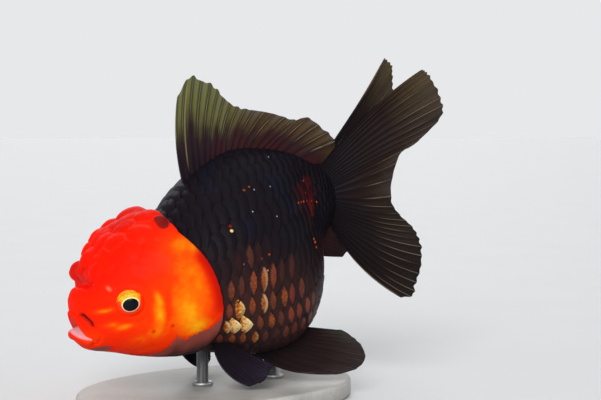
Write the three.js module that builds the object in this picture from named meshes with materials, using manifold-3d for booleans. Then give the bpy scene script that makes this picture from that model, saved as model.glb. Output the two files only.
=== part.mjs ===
// A life-size fancy goldfish of the red-cap oranda kind, nose down and tail up, on a low display stand.
// Millimetres. Model frame: +Z up, the fish looks along -X, its right side is +Y,
// and the origin is the middle of the underside of the stand's base.
// Fish frame, used for every piece of the fish: x from the mouth back, y to the right side, z up.

import * as THREE from "three";
import { mergeVertices } from "three/addons/utils/BufferGeometryUtils.js";
import Module from "manifold-3d";

const wasm = await Module();
wasm.setup();

// ---- driving dimensions ----

const GAP = 0.3; // clearance between neighbouring pieces
const NOSE_DOWN = THREE.MathUtils.degToRad(19);
const MOUTH_IN_MODEL = new THREE.Vector3(-52, 0, 29);

// Trunk and head at stations along x: [x, top, bottom, half width, height of the widest point]
const TRUNK_STATIONS = [
  [14, 12, -9, 12, 1],
  [26, 16, -16, 19, 0],
  [38, 22.8, -24, 25, -2],
  [50, 30.8, -30.5, 29, -2],
  [61, 35, -34.3, 30.5, -2.5],
  [72, 36.4, -33.8, 29, -2],
  [83, 33.2, -26.5, 21.5, 1],
  [93, 28, -9.5, 11, 7.5],
  [101, 21.5, -2, 6.4, 9.5],
  [107, 17.5, 1.5, 3, 10],
];
const HEAD_STATIONS = [
  [0.4, 6.2, -5.8, 5.4, 0.6],
  [1.6, 8.2, -7.3, 7.0, 0.8],
  [4, 11.1, -9.0, 9.4, 1],
  [6, 12.9, -10, 11.9, 1.5],
  [9, 15.8, -11.6, 15.4, 2],
  [16, 21.4, -15.7, 20.5, 2],
  [24, 25, -19.6, 24.5, 1],
  [32, 26.6, -22.2, 27, 0],
  [42, 26, -22.6, 28, -1],
];
// How round the cross-sections are, above and below the widest point: 2 is an ellipse
const TRUNK_ROUNDNESS = { above: 2.0, below: 2.15 };
const HEAD_ROUNDNESS = { above: 2.35, below: 2.2 };
const HEAD_FRONT = 0.4;
const TRUNK_FRONT = 24;
const TRUNK_REAR = 107;
const PEDUNCLE_FRONT = 88;

// Rear edge of the head: how far back it reaches at the crown, the cheek and the throat,
// and how sharply it swells towards the cheek from above and from below
const RIM = { crown: 34.5, cheek: 41, throat: 31, swell: { above: 3, below: 1.3 } };

// Raised lobes of the hood: rows over the crown and the spacing, size and height of one lobe
const LOBES = {
  rows: 7,
  front: 9.4,
  rear: 34.5,
  spread: 0.86, // reach to each side of the crown, in radians
  pitch: { front: 6.4, rear: 9 },
  radius: { front: 3.6, rear: 6 },
  height: { front: 1.5, rear: 2.1 },
  sideHeight: 0.05, // of the outermost lobes, as a share of the middle ones
};
// The largest lobes: [x, degrees from the top, radius, height]
const LARGE_LOBES = [
  [33, 9, 5.8, 3.0],
  [33.5, -12, 5.6, 2.6],
  [34, -25, 3, 2.4],
  [26.4, 22, 4.4, 3.3],
  [21.2, 21, 4.4, 3.2],
  [16.4, 22, 3.4, 2.0],
  [10.6, 34, 3.6, 2.5],
  [12.6, 4, 3.6, 2.2],
  [27, -24, 5.4, 1.6],
  [20, -16, 4.8, 1.8],
  [11, -22, 3.8, 1.2],
];

const EYE = { x: 16.2, z: 5.4, radius: 5.2, proud: 1.35 };
const LIP = { halfWidth: 6, radius: { upper: 0.85, lower: 1.45 }, reach: { upper: 1, lower: 0.8 } };
const GAPE_DEPTH = 4.5;
const STAND = { length: 100, width: 64, thickness: 6.5, chamfer: 1.5, round: 2.5, rod: 4 };
const ROD_PLACES = [["front", 40], ["rear", 66]]; // where along the fish each rod meets the belly

// ---- small tools ----

const { sin, cos, abs, sign, pow, sqrt, exp, min, max, PI } = Math;
const DEG = PI / 180;

function lerp(a, b, t) {
  return a + (b - a) * t;
}

function smoothStep(low, high, value) {
  const t = min(1, max(0, (value - low) / (high - low)));
  return t * t * (3 - 2 * t);
}

// Cubic through rows of [x, value, value, ...]: returns all the values at x.
function curveThrough(rows) {
  const last = rows.length - 1;
  const slope = (i, k) => {
    const before = rows[max(0, i - 1)];
    const after = rows[min(last, i + 1)];
    return (after[k] - before[k]) / (after[0] - before[0]);
  };
  return (x) => {
    let i = 0;
    while (i < last - 1 && x > rows[i + 1][0]) i += 1;
    const a = rows[i];
    const b = rows[i + 1];
    const span = b[0] - a[0];
    const t = (x - a[0]) / span;
    const t2 = t * t;
    const t3 = t2 * t;
    return a.slice(1).map((value, n) => {
      const k = n + 1;
      return (
        value * (2 * t3 - 3 * t2 + 1) +
        slope(i, k) * span * (t3 - 2 * t2 + t) +
        b[k] * (3 * t2 - 2 * t3) +
        slope(i + 1, k) * span * (t3 - t2)
      );
    });
  };
}

function geometryOf(points, faces) {
  const geometry = new THREE.BufferGeometry();
  geometry.setAttribute(
    "position",
    new THREE.Float32BufferAttribute(points.flatMap((p) => [p.x, p.y, p.z]), 3),
  );
  geometry.setIndex(faces.flat());
  return geometry;
}

function solidOf(geometry) {
  const bare = geometry.clone();
  bare.deleteAttribute("normal");
  bare.deleteAttribute("uv");
  const merged = mergeVertices(bare, 1e-3);
  const mesh = new wasm.Mesh({
    numProp: 3,
    vertProperties: new Float32Array(merged.attributes.position.array),
    triVerts: new Uint32Array(merged.index.array),
  });
  return new wasm.Manifold(mesh);
}

function largestBody(solid) {
  const bodies = solid.decompose();
  return bodies.reduce((best, body) => (body.volume() > best.volume() ? body : best));
}

function geometryFromSolid(solid) {
  const mesh = largestBody(solid).getMesh();
  const geometry = new THREE.BufferGeometry();
  geometry.setAttribute("position", new THREE.BufferAttribute(mesh.vertProperties, 3));
  geometry.setIndex(new THREE.BufferAttribute(mesh.triVerts, 1));
  return geometry;
}

// ---- body surfaces ----

const trunkAt = curveThrough(TRUNK_STATIONS);
const headAt = curveThrough(HEAD_STATIONS);

// A point of a cross-section. angle is 0 at the top, a quarter turn at the right side, a half turn below.
function sectionPoint([top, bottom, halfWidth, widest], x, angle, roundness, grow) {
  const c = cos(angle);
  const s = sin(angle);
  const power = c > 0 ? roundness.above : roundness.below;
  const across = sign(s) * pow(abs(s), 2 / power) * (halfWidth + grow);
  const height = c > 0 ? top + grow - widest : widest - bottom + grow;
  return new THREE.Vector3(x, across, widest + sign(c) * pow(abs(c), 2 / power) * height);
}

function trunkPoint(x, angle, grow = 0) {
  return sectionPoint(trunkAt(x), x, angle, TRUNK_ROUNDNESS, grow);
}

function rimX(angle) {
  const middle = (RIM.crown + RIM.throat) / 2;
  const lean = (RIM.crown - RIM.throat) / 2;
  const swell = cos(angle) > 0 ? RIM.swell.above : RIM.swell.below;
  return middle + lean * cos(angle) + (RIM.cheek - middle) * pow(abs(sin(angle)), swell);
}

// A number between 0 and 1 that looks random but is the same each time.
function scatter(seed) {
  const value = sin(seed * 12.9898 + 4.1) * 43758.5453;
  return value - Math.floor(value);
}

function headSurface(x, angle, grow) {
  return sectionPoint(headAt(x), x, angle, HEAD_ROUNDNESS, grow);
}

// The hood's lobes: rows across the crown, each wider than the one in front, and the large ones.
function lobeList() {
  const list = [];
  const sink = 0.2; // each lobe is a dome about a middle this share of its height over the head
  for (let row = 0; row < LOBES.rows; row += 1) {
    const t = row / (LOBES.rows - 1);
    const between = ({ front, rear }) => lerp(front, rear, t);
    const x = lerp(LOBES.front, LOBES.rear, t);
    const [top, , halfWidth] = headAt(x);
    const reach = LOBES.spread * lerp(0.75, 1, t);
    const count = Math.round((reach * (top + halfWidth)) / between(LOBES.pitch));
    for (let i = 0; i <= count; i += 1) {
      const seed = row * 31 + i;
      const shift = row % 2 === 0 ? 0 : 0.5;
      const angle = lerp(-reach, reach, (i + shift) / count) + (scatter(seed) - 0.5) * 0.16;
      const along = x + (scatter(seed + 0.7) - 0.5) * 2.5 - 3 * t * abs(angle);
      const size = lerp(0.75, 1.25, scatter(seed + 0.3));
      const height = between(LOBES.height) * lerp(1, LOBES.sideHeight, pow(abs(angle / reach), 1.5));
      list.push({
        middle: headSurface(along, angle, height * sink),
        radius: between(LOBES.radius) * size,
        height: height * size,
      });
    }
  }
  for (const [x, degrees, radius, height] of LARGE_LOBES) {
    list.push({ middle: headSurface(x, degrees * DEG, height * sink), radius, height });
  }
  return list;
}
const lobes = lobeList();

// How far the hood stands out at a point of the bare head.
function hoodRelief(point) {
  let relief = 0;
  for (const { middle, radius, height } of lobes) {
    const reach = point.distanceTo(middle) / radius;
    if (reach < 1) relief = max(relief, height * sqrt(1 - reach * reach));
  }
  return relief;
}

function headPoint(x, angle) {
  return headSurface(x, angle, hoodRelief(headSurface(x, angle, 0)));
}

// Closed solid through rings of points, each end closed by a fan to its own middle point.
function loft(rings, frontMiddle, rearMiddle) {
  const around = rings[0].length;
  const points = [...rings.flat(), frontMiddle, rearMiddle];
  const faces = [];
  const at = (ring, i) => ring * around + (i % around);
  for (let ring = 0; ring < rings.length - 1; ring += 1) {
    for (let i = 0; i < around; i += 1) {
      const [a, b] = [at(ring, i), at(ring, i + 1)];
      const [c, d] = [at(ring + 1, i + 1), at(ring + 1, i)];
      faces.push([a, d, c], [a, c, b]);
    }
  }
  const front = points.length - 2;
  const rear = points.length - 1;
  for (let i = 0; i < around; i += 1) {
    faces.push([front, at(0, i), at(0, i + 1)]);
    faces.push([rear, at(rings.length - 1, i + 1), at(rings.length - 1, i)]);
  }
  return geometryOf(points, faces);
}

function ringOf(around, pointAt) {
  return Array.from({ length: around }, (_, i) => pointAt((i / around) * 2 * PI));
}

function trunkLoft(from, to, steps, around, grow) {
  const rings = [];
  for (let i = 0; i <= steps; i += 1) {
    const x = lerp(from, to, i / steps);
    rings.push(ringOf(around, (angle) => trunkPoint(x, angle, grow)));
  }
  const middle = (x) => new THREE.Vector3(x, 0, trunkAt(x)[3]);
  return loft(rings, middle(from), middle(to));
}

function headLoft(steps, around) {
  const rings = [];
  for (let i = 0; i <= steps; i += 1) {
    const t = pow(i / steps, 1.4);
    rings.push(ringOf(around, (angle) => headPoint(lerp(HEAD_FRONT, rimX(angle), t), angle)));
  }
  const nose = new THREE.Vector3(HEAD_FRONT, 0, headAt(HEAD_FRONT)[3]);
  const insideTrunk = new THREE.Vector3(RIM.throat - 1, 0, 3);
  return loft(rings, nose, insideTrunk);
}

// Closed solid of a side-view outline, from y = low to y = high.
function slab(outline, low, high) {
  const shape = new THREE.Shape(outline);
  const geometry = new THREE.ExtrudeGeometry(shape, { depth: high - low, bevelEnabled: false });
  geometry.rotateX(PI / 2);
  geometry.translate(0, high, 0);
  return solidOf(geometry);
}

function smoothLine(points, steps) {
  const line = new THREE.SplineCurve(points.map(([x, z]) => new THREE.Vector2(x, z)));
  return line.getPoints(steps);
}

function ball(centre, radii, steps) {
  const geometry = new THREE.SphereGeometry(1, 2 * steps, steps);
  geometry.scale(radii.x, radii.y, radii.z);
  geometry.translate(centre.x, centre.y, centre.z);
  return geometry;
}

// Middle line of a lip, from corner (s = -1) to corner (s = 1).
const lipLines = {
  upper: (s) => [1.2 + 2.0 * pow(abs(s), 2.4), 5.6 - 10.2 * pow(abs(s), 1.9)],
  lower: (s) => [-0.2 + 3.4 * pow(abs(s), 3), -1.0 - 3.6 * pow(abs(s), 1.5)],
};

function lipPoint(which, s) {
  const [x, z] = lipLines[which](s);
  return new THREE.Vector3(x, LIP.halfWidth * s, z);
}

function lipSolid(which, grow) {
  const steps = 12;
  const reach = LIP.reach[which];
  const rings = [];
  for (let i = 0; i <= steps; i += 1) {
    const s = lerp(-reach, reach, i / steps);
    const along = lipPoint(which, s + 0.01).sub(lipPoint(which, s - 0.01)).normalize();
    const out = new THREE.Vector3(-1, 0, 0).addScaledVector(along, along.x).normalize();
    const up = new THREE.Vector3().crossVectors(out, along);
    const radius = LIP.radius[which] * (1 - 0.4 * pow(abs(s), 4)) + grow;
    const pointAt = (angle) => lipPoint(which, s)
      .addScaledVector(out, radius * cos(angle))
      .addScaledVector(up, radius * sin(angle));
    rings.push(ringOf(7, pointAt));
  }
  return loft(rings, lipPoint(which, -reach), lipPoint(which, reach));
}

// The open gape between the lips, as a solid to cut away.
function gapeSolid(depth) {
  const steps = 10;
  const reach = LIP.reach.lower;
  const rings = [];
  for (let i = 0; i <= steps; i += 1) {
    const s = lerp(-reach, reach, i / steps);
    const upper = lipPoint("upper", s);
    const lower = lipPoint("lower", s);
    const middle = upper.clone().lerp(lower, 0.5);
    const half = upper.distanceTo(lower) / 2 - 0.35 * (LIP.radius.upper + LIP.radius.lower);
    const back = depth * (1 - 0.7 * s * s);
    const pointAt = (angle) => new THREE.Vector3(
      middle.x + back * sin(angle),
      middle.y,
      middle.z + half * cos(angle),
    );
    rings.push(ringOf(12, pointAt));
  }
  const end = (s) => lipPoint("upper", s).lerp(lipPoint("lower", s), 0.5);
  return loft(rings, end(-reach), end(reach));
}

function eyeMiddle(side) {
  const [, , halfWidth] = headAt(EYE.x);
  return new THREE.Vector3(EYE.x, side * (halfWidth - 0.5 + EYE.proud - EYE.radius), EYE.z);
}

// ---- fins ----

// lift is the angle above the fish's long axis, spread the angle out to the side.
function rayDirection(lift, spread, side) {
  return new THREE.Vector3(cos(lift) * cos(spread), side * cos(lift) * sin(spread), sin(lift));
}

// A fin is a fan of rays. Each ray leaves its root along a direction and bends evenly to its tip.
function finSolid(fin, rays, steps) {
  const middle = [];
  for (let i = 0; i <= rays; i += 1) {
    const { root, lift, spread, length, bend } = fin.ray(i / rays);
    const point = root.clone();
    const row = [root.clone()];
    for (let j = 0; j < steps; j += 1) {
      const v = (j + 0.5) / steps;
      const along = rayDirection(lift + bend.lift * v, spread + bend.spread * v, fin.side);
      point.addScaledVector(along, length / steps);
      row.push(point.clone());
    }
    middle.push(row);
  }
  return sheetSolid(middle, fin.thickness);
}

// Closed solid about a grid of points, as thick as thickness(u, v) says.
function sheetSolid(middle, thickness) {
  const rows = middle.length;
  const columns = middle[0].length;
  const points = [];
  for (const face of [1, -1]) {
    for (let i = 0; i < rows; i += 1) {
      for (let j = 0; j < columns; j += 1) {
        const alongU = middle[min(rows - 1, i + 1)][j].clone().sub(middle[max(0, i - 1)][j]);
        const alongV = middle[i][min(columns - 1, j + 1)].clone().sub(middle[i][max(0, j - 1)]);
        const normal = alongU.cross(alongV).normalize();
        const half = thickness(i / (rows - 1), j / (columns - 1)) / 2;
        points.push(middle[i][j].clone().addScaledVector(normal, face * half));
      }
    }
  }
  const faces = [];
  const under = rows * columns;
  const at = (i, j) => i * columns + j;
  for (let i = 0; i < rows - 1; i += 1) {
    for (let j = 0; j < columns - 1; j += 1) {
      const [a, b, c, d] = [at(i, j), at(i + 1, j), at(i + 1, j + 1), at(i, j + 1)];
      faces.push([a, b, c], [a, c, d]);
      faces.push([under + a, under + c, under + b], [under + a, under + d, under + c]);
    }
  }
  const rimOf = (a, b) => faces.push([a, under + b, b], [a, under + a, under + b]);
  for (let i = 0; i < rows - 1; i += 1) {
    rimOf(at(i, 0), at(i + 1, 0));
    rimOf(at(i + 1, columns - 1), at(i, columns - 1));
  }
  for (let j = 0; j < columns - 1; j += 1) {
    rimOf(at(rows - 1, j), at(rows - 1, j + 1));
    rimOf(at(0, j + 1), at(0, j));
  }
  return geometryOf(points, faces);
}

const finThickness = (root, tip) => (u, v) => lerp(root, tip, sqrt(v));

// Dorsal fin: [place along the base, lift, bend, length]
const dorsalRays = curveThrough([
  [0, 89, -26, 28.7],
  [0.07, 84, -24, 33.6],
  [0.14, 79, -20, 31.3],
  [0.22, 73, -18, 27],
  [0.3, 69, -18, 21.7],
  [0.4, 63, -18, 16.7],
  [0.5, 55, -20, 15.6],
  [0.6, 42, -20, 16.2],
  [0.7, 28, -16, 17.2],
  [0.8, 26, -12, 19.0],
  [0.88, 16, -12, 18.1],
  [0.95, 8, -10, 16.1],
  [1, -17, -8, 10.6],
]);
const DORSAL = { front: 52, rear: 93, drawnOut: 3.5, sunk: 3.2 };
const dorsal = {
  side: 1,
  thickness: finThickness(2.4, 0.7),
  ray(u) {
    const x = lerp(DORSAL.front, DORSAL.rear, u) + DORSAL.drawnOut * smoothStep(0.75, 1, u);
    const [lift, bend, length] = dorsalRays(u);
    return {
      root: new THREE.Vector3(x, 0, trunkAt(x)[0] - DORSAL.sunk),
      lift: lift * DEG,
      spread: 0,
      length: length + DORSAL.sunk,
      bend: { lift: bend * DEG, spread: 0 },
    };
  },
};

// Half of the twin tail, from its top ray to its lowest:
// [place, lift, bend of the lift, spread, length]
const tailRays = curveThrough([
  [0, 36, -20, 14, 52],
  [0.08, 36, -20, 15, 53],
  [0.16, 32, -18, 15, 53.4],
  [0.24, 24, -14, 16, 52],
  [0.32, 16, -8, 17, 49],
  [0.4, 9, 0, 18, 38.6],
  [0.46, 4, 8, 19, 29.8],
  [0.52, -13, 14, 21, 24],
  [0.56, -29, 17, 22, 23.4],
  [0.62, -40, 23, 24, 27],
  [0.68, -47, 29, 26, 32],
  [0.76, -55, 34, 27, 36],
  [0.84, -65, 36, 28, 39.6],
  [0.92, -76, 38, 28, 41.8],
  [0.96, -80, 39, 28, 43.2],
  [1, -85, 40, 28, 40],
]);
const TAIL = { x: 103, top: 17, bottom: 2, apart: 1.5, sunk: 2.5, spreadBend: 8 };
// How each half is held: what its top and its bottom add to the rays, and the share of their length there;
// round is how much lower and longer the rays are at the place that ROUND_TIP gives
const ROUND_TIP = { place: 0.13, width: 0.09 };
const TAIL_HELD = {
  left: {
    lift: { top: 0, bottom: 0 },
    bend: 0,
    spread: 0,
    length: { top: 1, bottom: 1 },
    round: { lift: 0, length: 0 },
  },
  right: {
    lift: { top: -8, bottom: 16 },
    bend: 26,
    spread: -10,
    length: { top: 1.04, bottom: 0.86 },
    round: { lift: -4, length: 0.05 },
  },
};

// The part of one half between two places, as a fin.
function tailHalf(side, from, to) {
  const held = TAIL_HELD[side < 0 ? "left" : "right"];
  return {
    side,
    thickness: finThickness(2.2, 0.7),
    ray(t) {
      const u = lerp(from, to, t);
      const [lift, bend, spread, length] = tailRays(u);
      const between = ({ top, bottom }) => lerp(top, bottom, u);
      const near = exp(-pow((u - ROUND_TIP.place) / ROUND_TIP.width, 2));
      return {
        root: new THREE.Vector3(TAIL.x - TAIL.sunk, side * TAIL.apart, between(TAIL)),
        lift: (lift + between(held.lift) + held.round.lift * near) * DEG,
        spread: (spread + held.spread) * DEG,
        length: length * (between(held.length) + held.round.length * near) + TAIL.sunk,
        bend: { lift: (bend + held.bend * (1 - u)) * DEG, spread: TAIL.spreadBend * DEG },
      };
    },
  };
}

// Paired fins: the root runs from one point to the other, on the right side,
// and a row of rays is [place, lift, bend of the lift, spread, length]
function pairedFin(side, { root, rays, thickness, spreadBend }) {
  const [from, to] = root.map((place) => new THREE.Vector3(...place));
  return {
    side,
    thickness: finThickness(...thickness),
    ray(u) {
      const [lift, bend, spread, length] = rays(u);
      const start = from.clone().lerp(to, u);
      start.y *= side;
      return {
        root: start,
        lift: lift * DEG,
        spread: spread * DEG,
        length,
        bend: { lift: bend * DEG, spread: spreadBend * DEG },
      };
    },
  };
}

const pectoral = {
  root: [[41, 17.5, -17.5], [38, 16, -18.5]],
  rays: curveThrough([
    [0, -52, 8, 26, 20.2],
    [0.25, -58, 8, 26, 21.2],
    [0.5, -67, 14, 26, 21.7],
    [0.75, -82, 36, 25, 21.6],
    [1, -102, 66, 22, 21.6],
  ]),
  thickness: [2, 0.7],
  spreadBend: -6,
};
const pelvic = {
  root: [[68.5, 10, -25.6], [53.4, 8.5, -28.8]],
  rays: curveThrough([
    [0, -33, 10, 22, 15.2],
    [0.15, -26, 8, 21, 21.3],
    [0.3, -28, 6, 20, 28.3],
    [0.45, -30, 4, 19, 33.9],
    [0.6, -35, 6, 19, 37],
    [0.75, -40, 12, 21, 36.4],
    [0.9, -53, 32, 24, 31.7],
    [1, -66, 54, 26, 25.2],
  ]),
  thickness: [2, 0.7],
  spreadBend: 4,
};
const anal = {
  root: [[99.2, 1.3, -0.6], [91.5, 2.5, -10.5]],
  rays: curveThrough([
    [0, -57, 6, 8, 10.3],
    [0.5, -45, 5, 8.5, 11.2],
    [1, -25, 4, 9, 10.1],
  ]),
  thickness: [1.6, 0.7],
  spreadBend: 4,
};

// ---- stand ----

function standBase() {
  const r = STAND.length / 2;
  const top = STAND.thickness;
  const edge = new THREE.Path();
  edge.moveTo(0, 0);
  edge.lineTo(r - STAND.chamfer, 0);
  edge.lineTo(r, STAND.chamfer);
  edge.lineTo(r, top - STAND.round);
  edge.quadraticCurveTo(r, top, r - STAND.round, top);
  edge.lineTo(0, top);
  const base = new THREE.LatheGeometry(edge.getPoints(3), 40);
  base.rotateX(PI / 2);
  base.scale(1, STAND.width / STAND.length, 1);
  return base;
}

// ---- pieces ----

const looks = {
  red: { color: 0xf23a08, roughness: 0.35, metalness: 0 },
  orange: { color: 0xfb7008, roughness: 0.35, metalness: 0 },
  black: { color: 0x1f1c22, roughness: 0.4, metalness: 0 },
  fin: { color: 0x2c2320, roughness: 0.5, metalness: 0 },
  eye: { color: 0x0b0b0d, roughness: 0.1, metalness: 0 },
  stone: { color: 0xb2b0aa, roughness: 0.5, metalness: 0 },
  steel: { color: 0x9a9d9b, roughness: 0.3, metalness: 1 },
};

function addPiece(group, name, geometry, look) {
  const mesh = new THREE.Mesh(geometry, new THREE.MeshStandardMaterial(looks[look]));
  mesh.name = name;
  group.add(mesh);
}

const fish = new THREE.Group();
fish.position.copy(MOUTH_IN_MODEL);
fish.rotation.y = -NOSE_DOWN;
const sides = [[-1, "left"], [1, "right"]];

// trunk and peduncle, parted by a thin cut
const trunkGrown = solidOf(trunkLoft(TRUNK_FRONT, TRUNK_REAR, 22, 32, GAP));
addPiece(fish, "trunk", trunkLoft(TRUNK_FRONT, PEDUNCLE_FRONT, 18, 32, 0), "black");
addPiece(fish, "tail_peduncle", trunkLoft(PEDUNCLE_FRONT + GAP, TRUNK_REAR, 5, 32, 0), "black");

// head, parted into hood, gill covers, face and lips
const hoodLine = [[-4, 8.5], [4, 9.8], [14, 11.6], [24, 12], [34, 10], [48, 7]];
const gillLine = [[25.5, 14], [23.2, 6], [22.6, -3], [24, -13], [28, -26]];
const farOut = 50; // beyond the fish on every side
const rearOfHead = 60;
const above = [new THREE.Vector2(48, farOut), new THREE.Vector2(-4, farOut)];
const behind = [new THREE.Vector2(rearOfHead, -26), new THREE.Vector2(rearOfHead, 14)];
const head = solidOf(headLoft(18, 38)).subtract(trunkGrown);
const hoodZone = slab([...smoothLine(hoodLine, 12), ...above], -farOut, farOut);
const belowHood = head.subtract(hoodZone);
addPiece(fish, "hood", geometryFromSolid(head.intersect(hoodZone.translate([0, 0, GAP]))), "red");

const throatHalf = 4;
let face = belowHood;
for (const [side, word] of sides) {
  const low = side < 0 ? -farOut : throatHalf;
  const high = side < 0 ? -throatHalf : farOut;
  const zone = slab([...smoothLine(gillLine, 9), ...behind], low, high);
  const inner = zone.translate([GAP, side * GAP, 0]);
  addPiece(fish, `gill_cover_${word}`, geometryFromSolid(belowHood.intersect(inner)), "orange");
  face = face.subtract(zone);
  const middle = eyeMiddle(side);
  const radii = (r) => new THREE.Vector3(r, r, r);
  face = face.subtract(solidOf(ball(middle, radii(EYE.radius + GAP), 8)));
  addPiece(fish, `eye_${word}`, ball(middle, radii(EYE.radius), 8), "eye");
}
for (const which of ["upper", "lower"]) {
  face = face.subtract(solidOf(lipSolid(which, GAP)));
  addPiece(fish, `${which}_lip`, lipSolid(which, 0), "red");
}
face = face.subtract(solidOf(gapeSolid(GAPE_DEPTH)));
addPiece(fish, "face", geometryFromSolid(face), "red");

// fins, each cut clear of the body and of any fin it lies against
function grownFin(fin, rays, steps) {
  const thickness = (u, v) => fin.thickness(u, v) + 2 * GAP;
  return solidOf(finSolid({ ...fin, thickness }, rays, steps));
}
function addFin(name, fin, rays, steps, neighbour) {
  let cut = solidOf(finSolid(fin, rays, steps)).subtract(trunkGrown);
  if (neighbour) cut = cut.subtract(neighbour);
  addPiece(fish, name, geometryFromSolid(cut), "fin");
}
addFin("dorsal_fin", dorsal, 18, 5);
for (const [side, word] of sides) {
  const lowerLobe = tailHalf(side, 0.565, 1);
  addFin(`tail_upper_lobe_${word}`, tailHalf(side, 0, 0.55), 9, 5);
  addFin(`tail_lower_lobe_${word}`, lowerLobe, 7, 5);
  addFin(`pectoral_fin_${word}`, pairedFin(side, pectoral), 5, 5);
  addFin(`pelvic_fin_${word}`, pairedFin(side, pelvic), 7, 4);
  addFin(`anal_fin_${word}`, pairedFin(side, anal), 4, 3, grownFin(lowerLobe, 7, 5));
}

// stand: the rods run up to the belly and stop a gap short of it
const stand = new THREE.Group();
addPiece(stand, "stand_base", standBase(), "stone");
fish.updateMatrix();
const belly = trunkGrown.transform(fish.matrix.elements);
for (const [word, along] of ROD_PLACES) {
  const foot = STAND.thickness + GAP;
  const reach = 24;
  const rod = new THREE.CylinderGeometry(STAND.rod / 2, STAND.rod / 2, reach, 16);
  rod.rotateX(PI / 2);
  const touch = trunkPoint(along, PI).applyMatrix4(fish.matrix);
  rod.translate(touch.x, 0, foot + reach / 2);
  addPiece(stand, `stand_rod_${word}`, geometryFromSolid(solidOf(rod).subtract(belly)), "steel");
}

const model = new THREE.Group();
model.add(fish, stand);

export default model;
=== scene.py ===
import math

import bmesh
import bpy
import numpy as np
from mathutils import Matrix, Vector


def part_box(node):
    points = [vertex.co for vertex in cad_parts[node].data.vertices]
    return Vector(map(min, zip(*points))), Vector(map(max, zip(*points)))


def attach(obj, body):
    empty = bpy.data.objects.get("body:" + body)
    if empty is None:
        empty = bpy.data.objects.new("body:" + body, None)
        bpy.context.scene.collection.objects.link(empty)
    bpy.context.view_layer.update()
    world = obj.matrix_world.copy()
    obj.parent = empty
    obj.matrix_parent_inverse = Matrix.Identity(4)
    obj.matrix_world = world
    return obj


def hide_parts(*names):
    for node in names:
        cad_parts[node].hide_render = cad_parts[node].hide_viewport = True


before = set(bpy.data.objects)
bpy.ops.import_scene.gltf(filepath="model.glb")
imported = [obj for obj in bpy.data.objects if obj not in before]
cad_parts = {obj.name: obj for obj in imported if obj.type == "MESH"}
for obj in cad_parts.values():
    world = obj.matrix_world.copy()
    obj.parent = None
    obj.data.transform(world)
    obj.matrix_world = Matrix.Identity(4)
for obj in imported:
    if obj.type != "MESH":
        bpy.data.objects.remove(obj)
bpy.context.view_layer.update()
pi = math.pi
bothSides = ((-1, "left"), (1, "right"))

# A red-cap black oranda on a low display stand.
# Everything about the fish is worked out in its own frame, in millimetres: x from the mouth back,
# y to its right side, z up. hang says how that frame sits in the model.
hang = dict(noseDown=19, mouthX=-52, mouthZ=29)


def toModel(points):
    dip = math.radians(hang["noseDown"])
    x, y, z = np.moveaxis(points, -1, 0)
    across = x * math.cos(dip) - z * math.sin(dip) + hang["mouthX"]
    up = x * math.sin(dip) + z * math.cos(dip) + hang["mouthZ"]
    return np.stack([across, y, up], -1) / 1000


# Small number tools

def lerp(a, b, t):
    return a + (b - a) * t


def ease(value, low, high):
    t = np.clip((value - low) / (high - low), 0, 1)
    return t * t * (3 - 2 * t)


def bump(distance, width):
    return np.exp(-(distance / width) ** 2)


def scatter(seed):
    # a number from 0 to 1 for each seed, always the same one
    value = np.sin(np.asarray(seed) * 12.9898 + 4.1) * 43758.5453
    return value - np.floor(value)


def spot(a, b, middle, size):
    # 1 in the middle of an oval and softly less round it
    return np.exp(-(((a - middle[0]) / size[0]) ** 2 + ((b - middle[1]) / size[1]) ** 2))


def patch(a, b, made):
    middle, size, strength = made
    return strength * spot(a, b, middle, size)


def unit(vectors):
    return vectors / np.maximum(np.linalg.norm(vectors, axis=-1, keepdims=True), 1e-9)


def curveThrough(rows):
    # smooth curve through rows of [x, value, value, ...]
    table = np.array(rows, float)
    x, values = table[:, 0], table[:, 1:]
    last = len(x) - 1
    before = np.maximum(np.arange(last + 1) - 1, 0)
    after = np.minimum(np.arange(last + 1) + 1, last)
    slopes = (values[after] - values[before]) / (x[after] - x[before])[:, None]

    def at(where):
        where = np.asarray(where, float)
        i = np.clip(np.searchsorted(x, where, side="left") - 1, 0, last - 1)
        span = x[i + 1] - x[i]
        t = ((where - x[i]) / span)[..., None]
        run = span[..., None]
        near = values[i] * (2 * t**3 - 3 * t**2 + 1) + slopes[i] * run * (t**3 - 2 * t**2 + t)
        far = values[i + 1] * (3 * t**2 - 2 * t**3) + slopes[i + 1] * run * (t**3 - t**2)
        return near + far
    return at


def lineDistance(a, b, points):
    # distance in the plane of (a, b) to a smooth line through points, and the place along it
    line = curveThrough([[i, *p] for i, p in enumerate(points)])(np.linspace(0, len(points) - 1, 40))
    best = np.full(np.shape(a), 1e9)
    place = np.zeros(np.shape(a))
    for i in range(len(line) - 1):
        start, step = line[i], line[i + 1] - line[i]
        t = np.clip(((a - start[0]) * step[0] + (b - start[1]) * step[1]) / (step @ step), 0, 1)
        distance = np.hypot(a - start[0] - t * step[0], b - start[1] - t * step[1])
        place = np.where(distance < best, (i + t) / (len(line) - 1), place)
        best = np.minimum(best, distance)
    return best, place


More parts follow.
